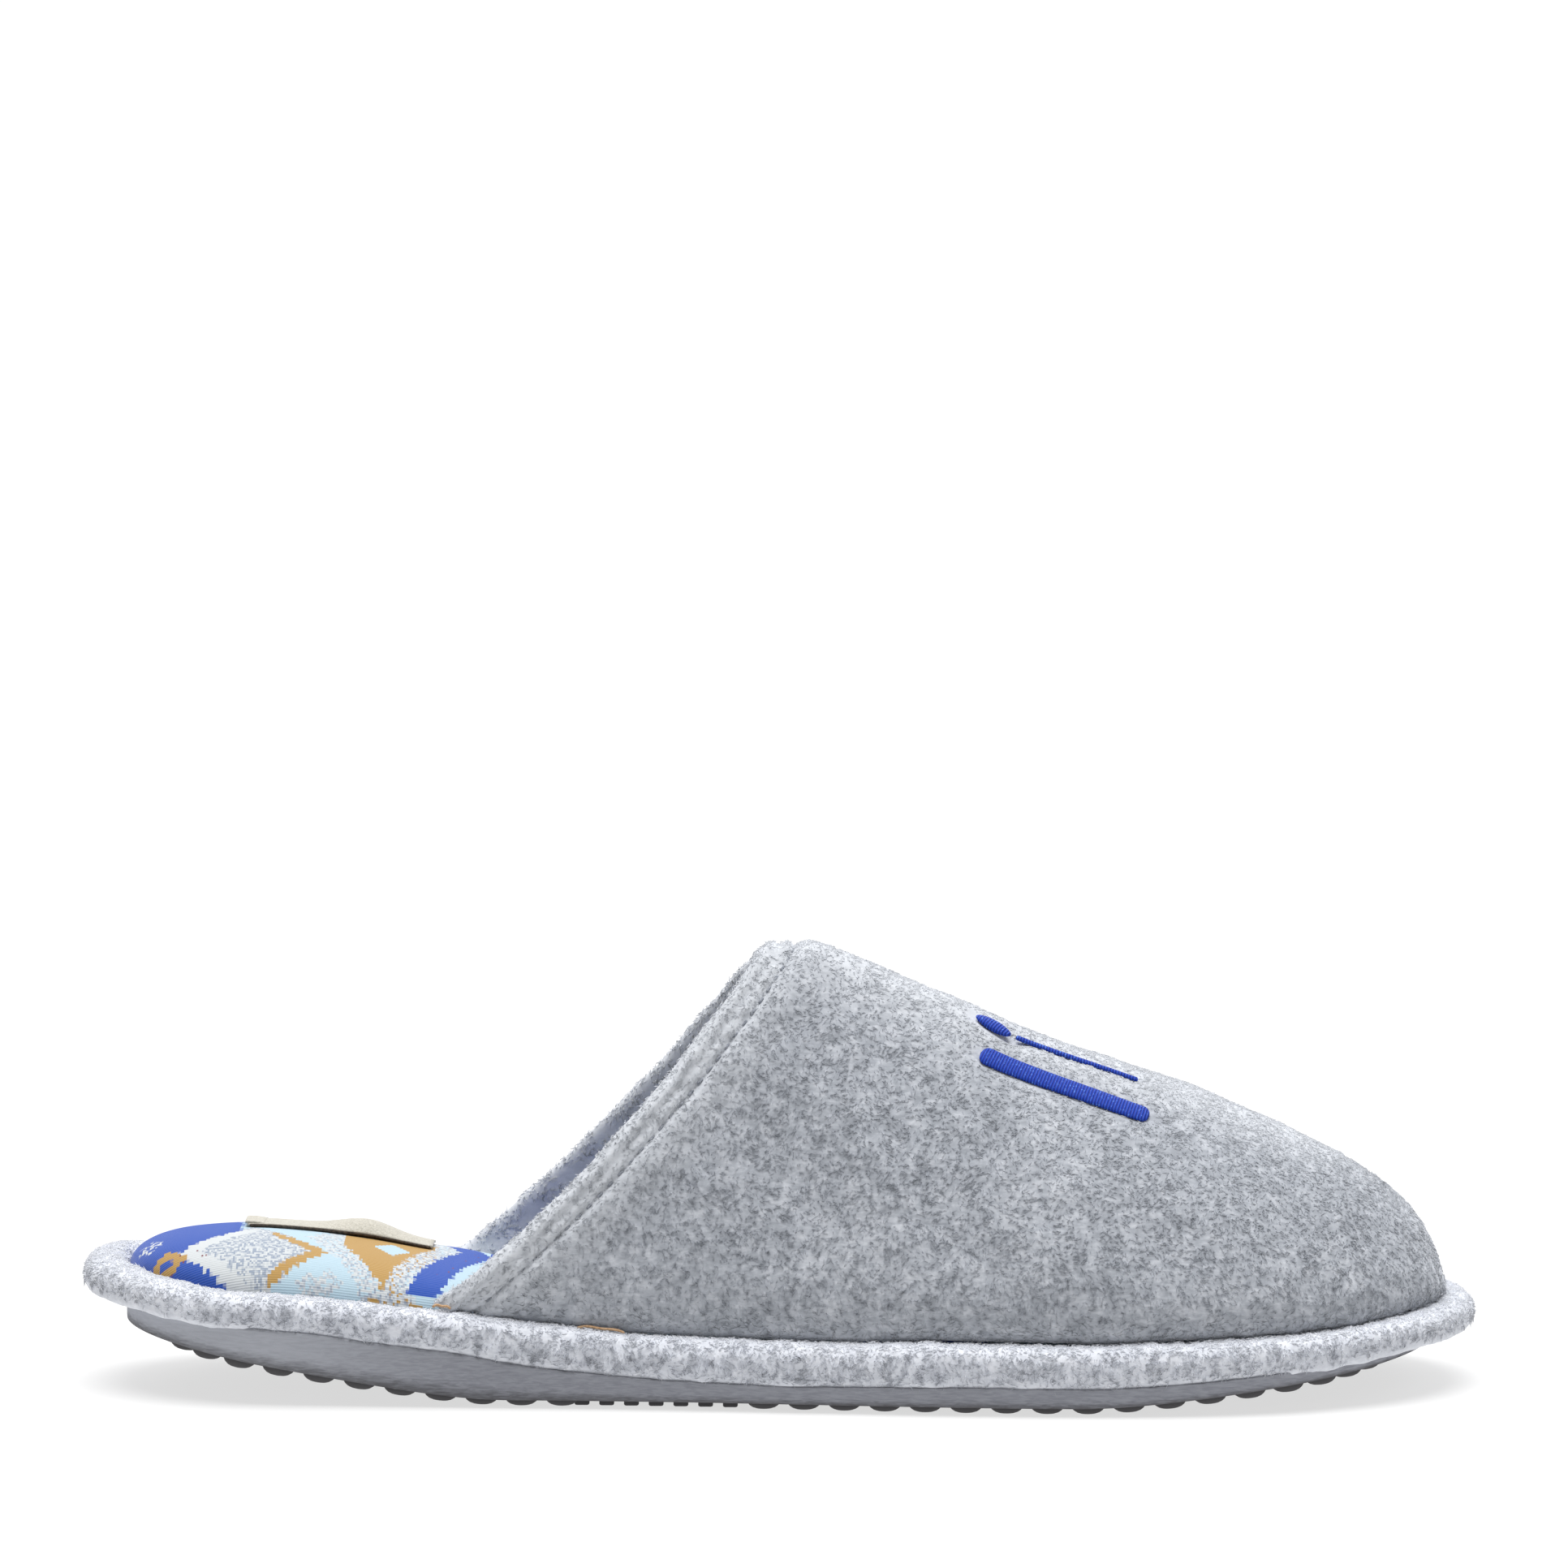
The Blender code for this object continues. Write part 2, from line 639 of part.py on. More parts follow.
def add_upper(parts, cutters):
    """Hollow plush vamp: sections fanned from the slanted collar to the toe, given a wall and a hem."""
    rim, seam, tip = upper_ends()
    hem_feet = [rim + HEM_WIDTH * row.across for row in HEM_ROWS]
    turns = [math.sin(math.pi / 2 * k / VAMP_ROWS) ** VAMP_EASE for k in range(1, VAMP_ROWS + 1)]
    feet = hem_feet + [hem_feet[-1] + (tip - hem_feet[-1]) * turn for turn in turns]

    bm = bmesh.new()
    out = bm.verts.layers.float.new("out")
    inside = bm.verts.layers.float.new("inside")
    rows = add_rows(bm, [section(foot_x) for foot_x in feet])
    for hem, row in zip(HEM_ROWS, rows):
        for vert in row:
            vert[out] = hem.out
            vert[inside] = hem.inside
    bmesh.ops.remove_doubles(bm, verts=bm.verts, dist=SHORTEST_EDGE)
    faces_up = sum(face.normal.z * face.calc_area() for face in bm.faces) > 0
    if not faces_up:
        bmesh.ops.reverse_faces(bm, faces=bm.faces)
    outer_count = len(bm.verts)
    sheet = bpy.data.meshes.new("upper_sheet")
    bm.to_mesh(sheet)
    bm.free()

    sheet_object = bpy.data.objects.new("upper_sheet", sheet)
    cutters.objects.link(sheet_object)
    wall = sheet_object.modifiers.new("wall", "SOLIDIFY")
    wall.thickness = WALL
    wall.offset = -1
    bpy.context.view_layer.update()
    drawn = sheet_object.evaluated_get(bpy.context.evaluated_depsgraph_get())
    bm = bmesh.new()
    bm.from_mesh(bpy.data.meshes.new_from_object(drawn))
    bpy.data.objects.remove(sheet_object)

    bm.verts.ensure_lookup_table()
    out = bm.verts.layers.float["out"]
    inside = bm.verts.layers.float["inside"]
    wall_vectors = [bm.verts[i].co - bm.verts[i + outer_count].co for i in range(outer_count)]
    for i, wall_vector in enumerate(wall_vectors):
        outward = wall_vector.normalized()
        bm.verts[i].co += bm.verts[i][out] * outward
        bm.verts[i + outer_count].co += bm.verts[i + outer_count][inside] * outward
    return add_piece("upper", mesh_of("upper", bm), parts)


def main():
    """Clears the scene and builds every piece."""
    for item in list(bpy.data.objects):
        bpy.data.objects.remove(item)
    parts = bpy.data.collections.new("scuff_slipper")
    cutters = bpy.data.collections.new("scuff_slipper_cutters")
    for group in (parts, cutters):
        bpy.context.scene.collection.children.link(group)
    add_outsole(parts, cutters)
    add_binding(parts, cutters)
    add_insole(parts)
    add_label(parts)
    add_upper(parts, cutters)


main()
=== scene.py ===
"""Looks of the scuff slipper: plush vamp and edge roll, printed padded sock, label and studded sole.

Metres, +Z up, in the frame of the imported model: the toe points along +X, the outer side of the foot is
at -Y and the floor is at Z 0. Every piece is laid along the same last as the solids.
"""

import functools
import logging
import math
from contextlib import contextmanager
from dataclasses import dataclass
from enum import Enum
from typing import Callable, Iterator

import bpy
import numpy as np
from mathutils import Matrix, Vector, noise
from mathutils.kdtree import KDTree


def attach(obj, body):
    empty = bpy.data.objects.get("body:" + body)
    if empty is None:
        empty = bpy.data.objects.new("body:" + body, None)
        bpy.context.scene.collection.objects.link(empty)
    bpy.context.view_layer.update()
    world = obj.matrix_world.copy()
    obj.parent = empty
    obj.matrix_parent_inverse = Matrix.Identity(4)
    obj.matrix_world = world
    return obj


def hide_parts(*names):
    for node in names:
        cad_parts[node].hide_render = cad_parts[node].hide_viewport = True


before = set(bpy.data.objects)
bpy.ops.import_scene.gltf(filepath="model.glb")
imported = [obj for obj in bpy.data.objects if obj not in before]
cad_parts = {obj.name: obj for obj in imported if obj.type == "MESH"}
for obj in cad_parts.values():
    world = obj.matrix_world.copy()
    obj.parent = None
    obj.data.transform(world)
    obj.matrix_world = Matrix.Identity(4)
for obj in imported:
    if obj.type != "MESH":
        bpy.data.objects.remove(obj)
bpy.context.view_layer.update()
BODY = "root"
NOISE_SEED = 1  # Blender's vector noise starts from the clock without one
LOG = logging.getLogger("scuff_slipper")
Colour = tuple[float, float, float]


class Slot(Enum):
    """The record's material slots."""

    UPPER = "plush_upper"
    BINDING = "plush_binding"
    COTTON = "printed_cotton"
    LABEL = "label_cloth"
    SOLE = "sole_rubber"


class Curve:
    """A smooth line through given places and values, which never overshoots them."""

    def __init__(self, *knots: tuple[float, float]) -> None:
        """Keep the knots and the slope at each.

        Args:
            knots: Pairs of place and value, in rising order of place.
        """
        self.at, self.value = (np.array(column, float) for column in zip(*knots))
        slopes = np.diff(self.value) / np.diff(self.at)
        before, after = slopes[:-1], slopes[1:]
        same_way = before * after > 0
        total = np.where(same_way, before + after, 1.0)
        self.slope = np.r_[slopes[0], np.where(same_way, 2 * before * after / total, 0.0), slopes[-1]]

    def __call__(self, at: np.ndarray | float) -> np.ndarray:
        """Read the line.

        Args:
            at: Places to read it at.

        Returns:
            Its values there, held level past both ends.
        """
        at = np.clip(at, self.at[0], self.at[-1])
        k = np.clip(np.searchsorted(self.at, at, side="right") - 1, 0, len(self.at) - 2)
        width = self.at[k + 1] - self.at[k]
        t = (at - self.at[k]) / width
        rise = self.value[k + 1] - self.value[k]
        pull = width * (self.slope[k] * t * (1 - t) ** 2 - self.slope[k + 1] * t * t * (1 - t))
        return self.value[k] + rise * t * t * (3 - 2 * t) + pull


def rounding(away: np.ndarray, reach: float, sharpness: float) -> np.ndarray:
    """How much of the full width is left at a distance from a rounded end.

    Args:
        away: Distance from the end.
        reach: Distance over which the end is rounded.
        sharpness: Power of the rounding, 2 for an ellipse.

    Returns:
        The share of the full width.
    """
    inside = np.clip(np.asarray(away) / reach, 0.0, 1.0)
    return np.maximum(0.0, 1 - (1 - inside) ** sharpness) ** (1 / sharpness)


def unit(vectors: np.ndarray) -> np.ndarray:
    """Each vector at a length of 1."""
    return vectors / np.maximum(np.linalg.norm(vectors, axis=-1, keepdims=True), 1e-12)


def walk(line: np.ndarray) -> np.ndarray:
    """Distance walked along a line of places, from 0 at its start."""
    return np.r_[0, np.cumsum(np.linalg.norm(np.diff(line, axis=0), axis=1))]


@dataclass(frozen=True)
class Last:
    """The slipper's plan, its rocker and the heights that the pieces share, as in the solids."""

    length: float = 0.285
    ball_width: float = 0.104
    instep: float = 0.0902
    heel_side: float = 0.0070
    gap: float = 0.0003
    heel_round: float = 0.044
    toe_round: float = 0.072
    heel_sharpness: float = 2.2
    toe_sharpness: float = 2.25
    heel_rocker: float = 0.088
    heel_lift: float = 0.0128
    toe_rocker: float = 0.083
    toe_spring: float = 0.0084
    ease: float = 0.20
    stud_height: float = 0.0016
    stud_growth: float = 0.065
    tuck_reach: float = 0.036
    tuck_ease: float = 1.4
    roll_width: float = 0.0088
    roll_height: float = 0.0094
    steps: int = 480
    widths: Curve = Curve(
        (0.00, 0.740), (0.08, 0.745), (0.18, 0.750), (0.26, 0.752), (0.34, 0.756), (0.42, 0.775),
        (0.52, 0.838), (0.64, 0.940), (0.74, 1.000), (0.84, 1.010), (0.90, 1.000), (1.00, 0.970),
    )
    middles: Curve = Curve(
        (0.00, 0.010), (0.08, 0.005), (0.18, -0.002), (0.26, -0.009), (0.34, -0.018), (0.42, -0.027),
        (0.52, -0.031), (0.64, -0.022), (0.74, -0.006), (0.84, 0.010), (0.90, 0.019), (1.00, 0.035),
    )
    plates: Curve = Curve(
        (0.00, 0.67), (0.08, 0.73), (0.18, 1.05), (0.26, 1.12), (0.34, 0.74), (0.42, 0.48),
        (0.52, 0.36), (0.64, 0.42), (0.74, 0.38), (0.84, 0.27), (0.90, 0.21), (1.00, 0.18),
    )
    rolls: Curve = Curve(
        (0.00, 0.76), (0.10, 0.78), (0.22, 0.87), (0.34, 1.00), (0.62, 1.00), (0.76, 0.95), (0.88, 0.78), (1.00, 0.68)
    )

    def station(self, x: np.ndarray) -> np.ndarray:
        """Share of the length, from the heel."""
        return np.asarray(x) / self.length + 0.5

    def edge(self, turn: np.ndarray) -> np.ndarray:
        """Places on the plan: turn 0 is the heel tip, 1 the toe tip, 2 the heel tip again.

        Args:
            turn: Turns round the plan.

        Returns:
            X and Y of each, with the plan's box not yet centred.
        """
        turn = np.mod(turn, 2.0)
        station = 0.5 - 0.5 * np.cos(np.pi * turn)
        half = 0.5 * self.ball_width * self.widths(station)
        half = half * rounding(station * self.length, self.heel_round, self.heel_sharpness)
        half = half * rounding((1 - station) * self.length, self.toe_round, self.toe_sharpness)
        middle = self.ball_width * self.middles(station)
        return np.stack([(station - 0.5) * self.length, middle + np.where(turn <= 1, -half, half)], -1)

    @functools.cache
    def shift(self) -> float:
        """Y of the middle of the plan's box."""
        y = self.edge(np.arange(0, 2, 2 / self.steps))[:, 1]
        return float(y.min() + y.max()) / 2

    def ring(self, inset: float, turn: np.ndarray, tuck: float = 0.0) -> np.ndarray:
        """Places on the plan at an inset from its edge.

        Args:
            inset: Distance inwards.
            turn: Turns round the plan.
            tuck: What is added to the inset at both tips, fading out along the sides.

        Returns:
            X and Y of each place.
        """
        step = 0.8 / self.steps
        along = self.edge(turn + step) - self.edge(turn - step)
        along /= np.linalg.norm(along, axis=-1, keepdims=True)
        place = self.edge(turn)
        near_tip = np.maximum(0, 1 - (self.length / 2 - abs(place[:, :1])) / self.tuck_reach)
        depth = inset + tuck * near_tip ** self.tuck_ease
        return place + depth * np.stack([-along[:, 1], along[:, 0]], -1) - (0, self.shift())

    @functools.cache
    def side_lines(self, inset: float, tuck: float = 0.0) -> tuple[np.ndarray, np.ndarray]:
        """X, Y and outward turn along the outer and the inner side at an inset."""
        lines = []
        for turn in (np.linspace(0, 1, self.steps), np.linspace(2, 1, self.steps)):
            side = self.ring(inset, turn, tuck)
            out = self.ring(inset - self.gap, turn, tuck) - side
            lines.append(np.hstack([side, out / np.linalg.norm(out, axis=-1, keepdims=True)]))
        return tuple(lines)

    def side(self, x: np.ndarray, inset: float, inner: bool, tuck: float = 0.0) -> np.ndarray:
        """One side of the plan at an inset.

        Args:
            x: Places along X.
            inset: Distance inwards from the edge.
            inner: The inner side of the foot, or else the outer one.
            tuck: What is added to the inset at both tips.

        Returns:
            X, Y and the outward turn's X and Y, in the last axis.
        """
        line = self.side_lines(inset, tuck)[int(inner)]
        return np.stack([np.interp(x, line[:, 0], line[:, k]) for k in range(4)], -1)

    def across(self, x: np.ndarray, inset: float, tuck: float = 0.0) -> tuple[np.ndarray, np.ndarray]:
        """Y of the outer and the inner side at an inset."""
        return self.side(x, inset, False, tuck)[..., 1], self.side(x, inset, True, tuck)[..., 1]

    def rocker(self, share: np.ndarray) -> np.ndarray:
        """Rise of a rocker from 0 at its start to 1 at the tip."""
        share = np.clip(share, 0, 1)
        return (np.hypot(share, self.ease) - self.ease) / (math.hypot(1, self.ease) - self.ease)

    def lift(self, x: np.ndarray) -> np.ndarray:
        """Height of the stud tips over the floor."""
        back = self.rocker((self.heel_rocker - self.length / 2 - x) / self.heel_rocker)
        front = self.rocker((x - self.length / 2 + self.toe_rocker) / self.toe_rocker)
        return self.heel_lift * back + self.toe_spring * front

    def base(self, x: np.ndarray) -> np.ndarray:
        """Height of the sole's lower face, between the studs."""
        return self.stud_height + (1 + self.stud_growth) * self.lift(x)

    def seat(self, x: np.ndarray) -> np.ndarray:
        """Height of the sole's upper face."""
        return self.base(x) + self.heel_side * self.plates(self.station(x))

    def roll_top(self, x: np.ndarray) -> np.ndarray:
        """Height of the roll's top."""
        return self.seat(x) + self.gap + self.roll_height * self.rolls(self.station(x))


LAST = Last()


def deselect() -> None:
    for item in bpy.context.selected_objects:
        item.select_set(False)


def activate(piece: bpy.types.Object) -> None:
    """Make one piece the only selected and the active one."""
    deselect()
    piece.select_set(True)
    bpy.context.view_layer.objects.active = piece


@contextmanager
def editing(piece: bpy.types.Object) -> Iterator[None]:
    """Edit mode on one piece, with all of it selected.

    Args:
        piece: The piece to edit.

    Yields:
        Nothing; the piece is back in object mode afterwards.
    """
    activate(piece)
    bpy.ops.object.mode_set(mode="EDIT")
    bpy.ops.mesh.select_all(action="SELECT")
    yield
    bpy.ops.object.mode_set(mode="OBJECT")


def apply_modifier(piece: bpy.types.Object, kind: str, **settings: object) -> None:
    """Add a modifier with its settings and apply it.

    Args:
        piece: The piece that it changes.
        kind: Blender's type of modifier.
        settings: Its settings by name.
    """
    modifier = piece.modifiers.new(kind.title(), kind)
    for name, value in settings.items():
        setattr(modifier, name, value)
    activate(piece)
    bpy.ops.object.modifier_apply(modifier=modifier.name)


def join_pieces(pieces: list[bpy.types.Object], name: str) -> bpy.types.Object:
    """Join pieces in one mesh.

    Args:
        pieces: The pieces, which are used up.
        name: The joined piece's name.

    Returns:
        The joined piece.
    """
    activate(pieces[0])
    for piece in pieces:
        piece.select_set(True)
    bpy.ops.object.join()
    joined = bpy.context.object
    joined.name = joined.data.name = name
    return joined


def points_of(piece: bpy.types.Object) -> np.ndarray:
    """Every vertex of a piece as a row of X, Y and Z."""
    found = np.empty(len(piece.data.vertices) * 3, np.float32)
    piece.data.vertices.foreach_get("co", found)
    return found.reshape(-1, 3).astype(float)


def normals_of(piece: bpy.types.Object) -> np.ndarray:
    """The outward turn at every vertex of a piece."""
    found = np.empty(len(piece.data.vertices) * 3, np.float32)
    piece.data.vertex_normals.foreach_get("vector", found)
    return found.reshape(-1, 3).astype(float)


def place_points(piece: bpy.types.Object, points: np.ndarray) -> None:
    """Set every vertex of a piece."""
    piece.data.vertices.foreach_set("co", points.astype(np.float32).ravel())
    piece.data.update()


def lay_grid(
    name: str,
    points: np.ndarray,
    uv: np.ndarray | None = None,
    merge: float = 1e-5,
    marks: dict[str, np.ndarray] | None = None,
) -> bpy.types.Object:
    """A grid primitive laid along rows of points, with its meeting ends merged.

    Args:
        name: The piece's name.
        points: Rows by columns of X, Y and Z.
        uv: A place on the flat cloth for each point, in metres.
        merge: Points nearer than this become one.
        marks: Numbers to keep at each point, by name.

    Returns:
        The new piece, with its faces turned the same way.
    """
    deselect()
    rows, columns = points.shape[:2]
    bpy.ops.mesh.primitive_grid_add(x_subdivisions=columns - 1, y_subdivisions=rows - 1, size=1)
    piece = bpy.context.object
    piece.name = piece.data.name = name
    place_points(piece, points.reshape(-1, 3))
    for mark, values in (marks or {}).items():
        layer = piece.data.attributes.new(mark, "FLOAT", "POINT")
        layer.data.foreach_set("value", np.broadcast_to(values, (rows, columns)).astype(np.float32).ravel())
    if uv is not None:
        order = np.empty(len(piece.data.loops), np.int32)
        piece.data.loops.foreach_get("vertex_index", order)
        flat = uv.reshape(-1, 2)[order]
        piece.data.uv_layers.active.data.foreach_set("uv", flat.astype(np.float32).ravel())
    with editing(piece):
        bpy.ops.mesh.remove_doubles(threshold=merge)
        bpy.ops.mesh.dissolve_degenerate(threshold=1e-7)
        bpy.ops.mesh.select_all(action="SELECT")
        bpy.ops.mesh.normals_make_consistent(inside=False)
    return piece


def turn_up(piece: bpy.types.Object) -> None:
    """Turn the faces of an open sheet so that they look up."""
    if normals_of(piece)[:, 2].sum() < 0:
        with editing(piece):
            bpy.ops.mesh.flip_normals()


def mark_of(piece: bpy.types.Object, mark: str) -> np.ndarray:
    """The numbers that a piece keeps at its vertices under a name."""
    found = np.empty(len(piece.data.vertices), np.float32)
    piece.data.attributes[mark].data.foreach_get("value", found)
    return found.astype(float)


def roughen(piece: bpy.types.Object, size: float, depth: float) -> None:
    """Raise tufts on a surface, by Blender's cloud texture.

    Args:
        piece: The piece.
        size: Size of the tufts.
        depth: Height from its lowest to its highest.
    """
    texture = bpy.data.textures.new(f"{piece.name}_tufts", "CLOUDS")
    texture.noise_scale = size
    apply_modifier(piece, "DISPLACE", texture=texture, strength=depth, mid_level=0.5, texture_coords="LOCAL")
    bpy.data.textures.remove(texture)


def drift(points: np.ndarray, size: float, seed: float = 0.0) -> np.ndarray:
    """A smooth random vector at each point.

    Args:
        points: Rows of X, Y and Z.
        size: Distance over which it changes.
        seed: Moves the pattern.

    Returns:
        A vector of up to about 1 for each point.
    """
    noise.seed_set(NOISE_SEED)
    shift = Vector((seed, 1.7 * seed, 0.3 * seed))
    return np.array([noise.noise_vector(Vector(point) / size + shift) for point in points])


@dataclass(frozen=True)
class Nap:
    """Loose fibres that lie along a plush face and stand a little out of it."""

    length: float
    width: float
    arch: float
    swirl: float
    seed: int
    count: int = 49000
    stray: float = 0.25
    sink: float = 0.0002
    crest_share: float = 0.35
    crest_arch: float = 0.6
    lengths: tuple[float, float] = (0.6, 1.25)
    arches: tuple[float, float] = (0.5, 1.3)
    widths: tuple[float, float] = (0.7, 1.2)

    def grow(self, name: str, skin: bpy.types.Object, keep: Callable[[np.ndarray], np.ndarray]) -> bpy.types.Object:
        """Spread the fibres over a skin as closed splinters, joined in one mesh.

        Args:
            name: The new piece's name.
            skin: The piece that they grow on.
            keep: Says which of the given middles of faces may carry fibres.

        Returns:
            The new piece.
        """
        random = np.random.default_rng(self.seed)
        skin.data.calc_loop_triangles()
        count = len(skin.data.loop_triangles)
        corners = np.empty(count * 3, np.int32)
        skin.data.loop_triangles.foreach_get("vertices", corners)
        corners = corners.reshape(-1, 3)
        points, normals = points_of(skin), normals_of(skin)
        faces = points[corners]
        cross = np.cross(faces[:, 1] - faces[:, 0], faces[:, 2] - faces[:, 0])
        area = np.linalg.norm(cross, axis=1) * keep(faces.mean(axis=1))
        chosen = random.choice(count, self.count, p=area / area.sum())
        share = random.dirichlet((1.0, 1.0, 1.0), self.count)[:, :, None]
        root = (faces[chosen] * share).sum(axis=1)
        up = unit((normals[corners[chosen]] * share).sum(axis=1))
        way = drift(root, self.swirl, self.seed) + random.normal(0, self.stray, (self.count, 3))
        way = unit(way - up * (way * up).sum(axis=1, keepdims=True))
        beside = np.cross(up, way)
        reach = self.length * random.uniform(*self.lengths, (self.count, 1))
        arch = self.arch * random.uniform(*self.arches, (self.count, 1))
        half = self.width / 2 * random.uniform(*self.widths, (self.count, 1))
        start = root - up * self.sink
        tip = root + way * reach + up * arch
        crest = root + way * reach * self.crest_share + up * (arch * self.crest_arch + half)
        splinter = np.stack([start - beside * half, start + beside * half, crest, tip], 1)
        turns = np.array([(0, 2, 1), (0, 3, 2), (1, 2, 3), (0, 1, 3)])
        joined = (turns[None] + 4 * np.arange(self.count)[:, None, None]).reshape(-1, 3)
        mesh = bpy.data.meshes.new(name)
        mesh.from_pydata(splinter.reshape(-1, 3).tolist(), [], joined.tolist())
        # Each fibre takes the skin's painted highlight mark at its root.
        if "painted_highlight" in skin.data.attributes:
            painted_highlight = (mark_of(skin, "painted_highlight")[corners[chosen]] * share[:, :, 0]).sum(axis=1)
            layer = mesh.attributes.new("painted_highlight", "FLOAT", "POINT")
            layer.data.foreach_set("value", np.repeat(painted_highlight, 4).astype(np.float32))
        mesh.shade_smooth()
        piece = bpy.data.objects.new(name, mesh)
        bpy.context.scene.collection.objects.link(piece)
        return piece


class Socket:
    """A socket of a shader, with arithmetic that adds Math nodes."""

    def __init__(self, shader: "Shader", socket: bpy.types.NodeSocket) -> None:
        """Wrap a socket of a shader."""
        self.shader, self.socket = shader, socket

    def math(self, operation: str, *values: "Socket | float") -> "Socket":
        """A Math node on this socket and more values."""
        return self.shader.add("Math", {"operation": operation}, dict(enumerate((self, *values))))

    def back(self, operation: str, value: "Socket | float") -> "Socket":
        """A Math node on a value and then this socket."""
        return self.shader.add("Math", {"operation": operation}, {0: value, 1: self})

    def __add__(self, other: "Socket | float") -> "Socket":
        """Sum."""
        return self.math("ADD", other)

    def __radd__(self, other: float) -> "Socket":
        """Sum, with a number first."""
        return self.back("ADD", other)

    def __sub__(self, other: "Socket | float") -> "Socket":
        """Difference."""
        return self.math("SUBTRACT", other)

    def __rsub__(self, other: float) -> "Socket":
        """Difference, with a number first."""
        return self.back("SUBTRACT", other)

    def __mul__(self, other: "Socket | float") -> "Socket":
        """Product."""
        return self.math("MULTIPLY", other)

    def __rmul__(self, other: float) -> "Socket":
        """Product, with a number first."""
        return self.back("MULTIPLY", other)

    def __truediv__(self, other: "Socket | float") -> "Socket":
        """Quotient."""
        return self.math("DIVIDE", other)

    def __abs__(self) -> "Socket":
        """Distance from zero."""
        return self.math("ABSOLUTE")

    def __and__(self, other: "Socket") -> "Socket":
        """The part that two masks share."""
        return self.math("MINIMUM", other)

    def __or__(self, other: "Socket") -> "Socket":
        """Two masks together."""
        return self.math("MAXIMUM", other)

    def below(self, edge: "Socket | float", soft: float) -> "Socket":
        """A mask that is 1 under an edge and fades to 0 over a soft width."""
        return self.math("SUBTRACT", edge).fade(soft / 2, -soft / 2)

    def fade(self, low: float, high: float) -> "Socket":
        """A smooth mask from 0 at low to 1 at high."""
        settings = {"interpolation_type": "SMOOTHSTEP"}
        if low < high:
            return self.shader.add("MapRange", settings, {"Value": self, "From Min": low, "From Max": high})
        ends = {"Value": self, "From Min": high, "From Max": low, "To Min": 1.0, "To Max": 0.0}
        return self.shader.add("MapRange", settings, ends)


class Shader:
    """A procedural finish under construction, on a Principled shader."""

    def __init__(self, name: str, **constants: object) -> None:
        """Start a material.

        Args:
            name: The material's name.
            constants: Values for the Principled shader's sockets, with spaces as underlines.
        """
        self.material = bpy.data.materials.new(name)
        self.material.use_nodes = True
        self.tree = self.material.node_tree
        self.surface = self.tree.nodes["Principled BSDF"]
        for key, value in constants.items():
            self.surface.inputs[key.replace("_", " ").title().replace("Ior", "IOR")].default_value = value

    def add(self, kind: str, settings: dict | None = None, inputs: dict | None = None, output: int | str = 0) -> Socket:
        """Add any node.

        Args:
            kind: Its type, without the prefix ShaderNode.
            settings: Its own settings, set first; stops are a ramp's places and colours.
            inputs: Values or sockets for its inputs, by name or number.
            output: Which of its outputs is wanted.

        Returns:
            That output.
        """
        node = self.tree.nodes.new("ShaderNode" + kind)
        for key, value in (settings or {}).items():
            if key == "stops":
                for k, (place, colour) in enumerate(value):
                    stop = node.color_ramp.elements[k] if k < 2 else node.color_ramp.elements.new(place)
                    stop.position, stop.color = place, (*colour, 1)
            else:
                setattr(node, key, value)
        for key, value in (inputs or {}).items():
            if isinstance(value, Socket):
                self.tree.links.new(value.socket, node.inputs[key])
            else:
                node.inputs[key].default_value = value
        return Socket(self, node.outputs[output])

    def place(self) -> Socket:
        """The piece's own place in metres."""
        return self.add("TexCoord", output="Object")

    def cells(self, where: Socket, size: float | tuple[float, float, float]) -> Socket:
        """A place moved to the corner of its cell, of one size or one along each axis."""
        size = (size,) * 3 if isinstance(size, float) else size
        return self.add("VectorMath", {"operation": "SNAP"}, {0: where, 1: size})

    def noise(self, where: Socket, size: float, detail: float = 2.0, rough: float = 0.5, bent: float = 0.0) -> Socket:
        """Soft noise of about 0 to 1.

        Args:
            where: The place to read it at.
            size: Size of its blobs in metres.
            detail: How many finer layers it has.
            rough: How strong they are.
            bent: How far it is bent by itself.

        Returns:
            The noise.
        """
        inputs = {"Vector": where, "Scale": 1 / size, "Detail": detail, "Roughness": rough, "Distortion": bent}
        return self.add("TexNoise", {}, inputs)

    def mix(self, mask: Socket | float, first: Socket | Colour, second: Socket | Colour) -> Socket:
        """Two colours mixed by a mask.

        Args:
            mask: 0 for the first and 1 for the second.
            first: A colour.
            second: Another colour.

        Returns:
            The mixed colour.
        """
        colours = [c if isinstance(c, Socket) else (*c, 1) for c in (first, second)]
        return self.add("Mix", {"data_type": "RGBA"}, {0: mask, 6: colours[0], 7: colours[1]}, output=2)

    def dress(
        self, colour: Socket, height: Socket | None = None, depth: float = 0.0, strength: float = 1.0
    ) -> bpy.types.Material:
        """Link the colour and a bump, and give the material.

        Args:
            colour: The base colour.
            height: The relief, from 0 to 1.
            depth: The relief's depth in metres.
            strength: How much of it shows.

        Returns:
            The finished material.
        """
        self.tree.links.new(colour.socket, self.surface.inputs["Base Color"])
        if height is not None:
            bump = self.add("Bump", {}, {"Height": height, "Distance": depth, "Strength": strength})
            self.tree.links.new(bump.socket, self.surface.inputs["Normal"])
        return self.material


def srgb(red: int, green: int, blue: int) -> Colour:
    """A colour as seen on a screen, from 0 to 255, as light."""
    shares = (red / 255, green / 255, blue / 255)
    return tuple(c / 12.92 if c <= 0.04045 else ((c + 0.055) / 1.055) ** 2.4 for c in shares)


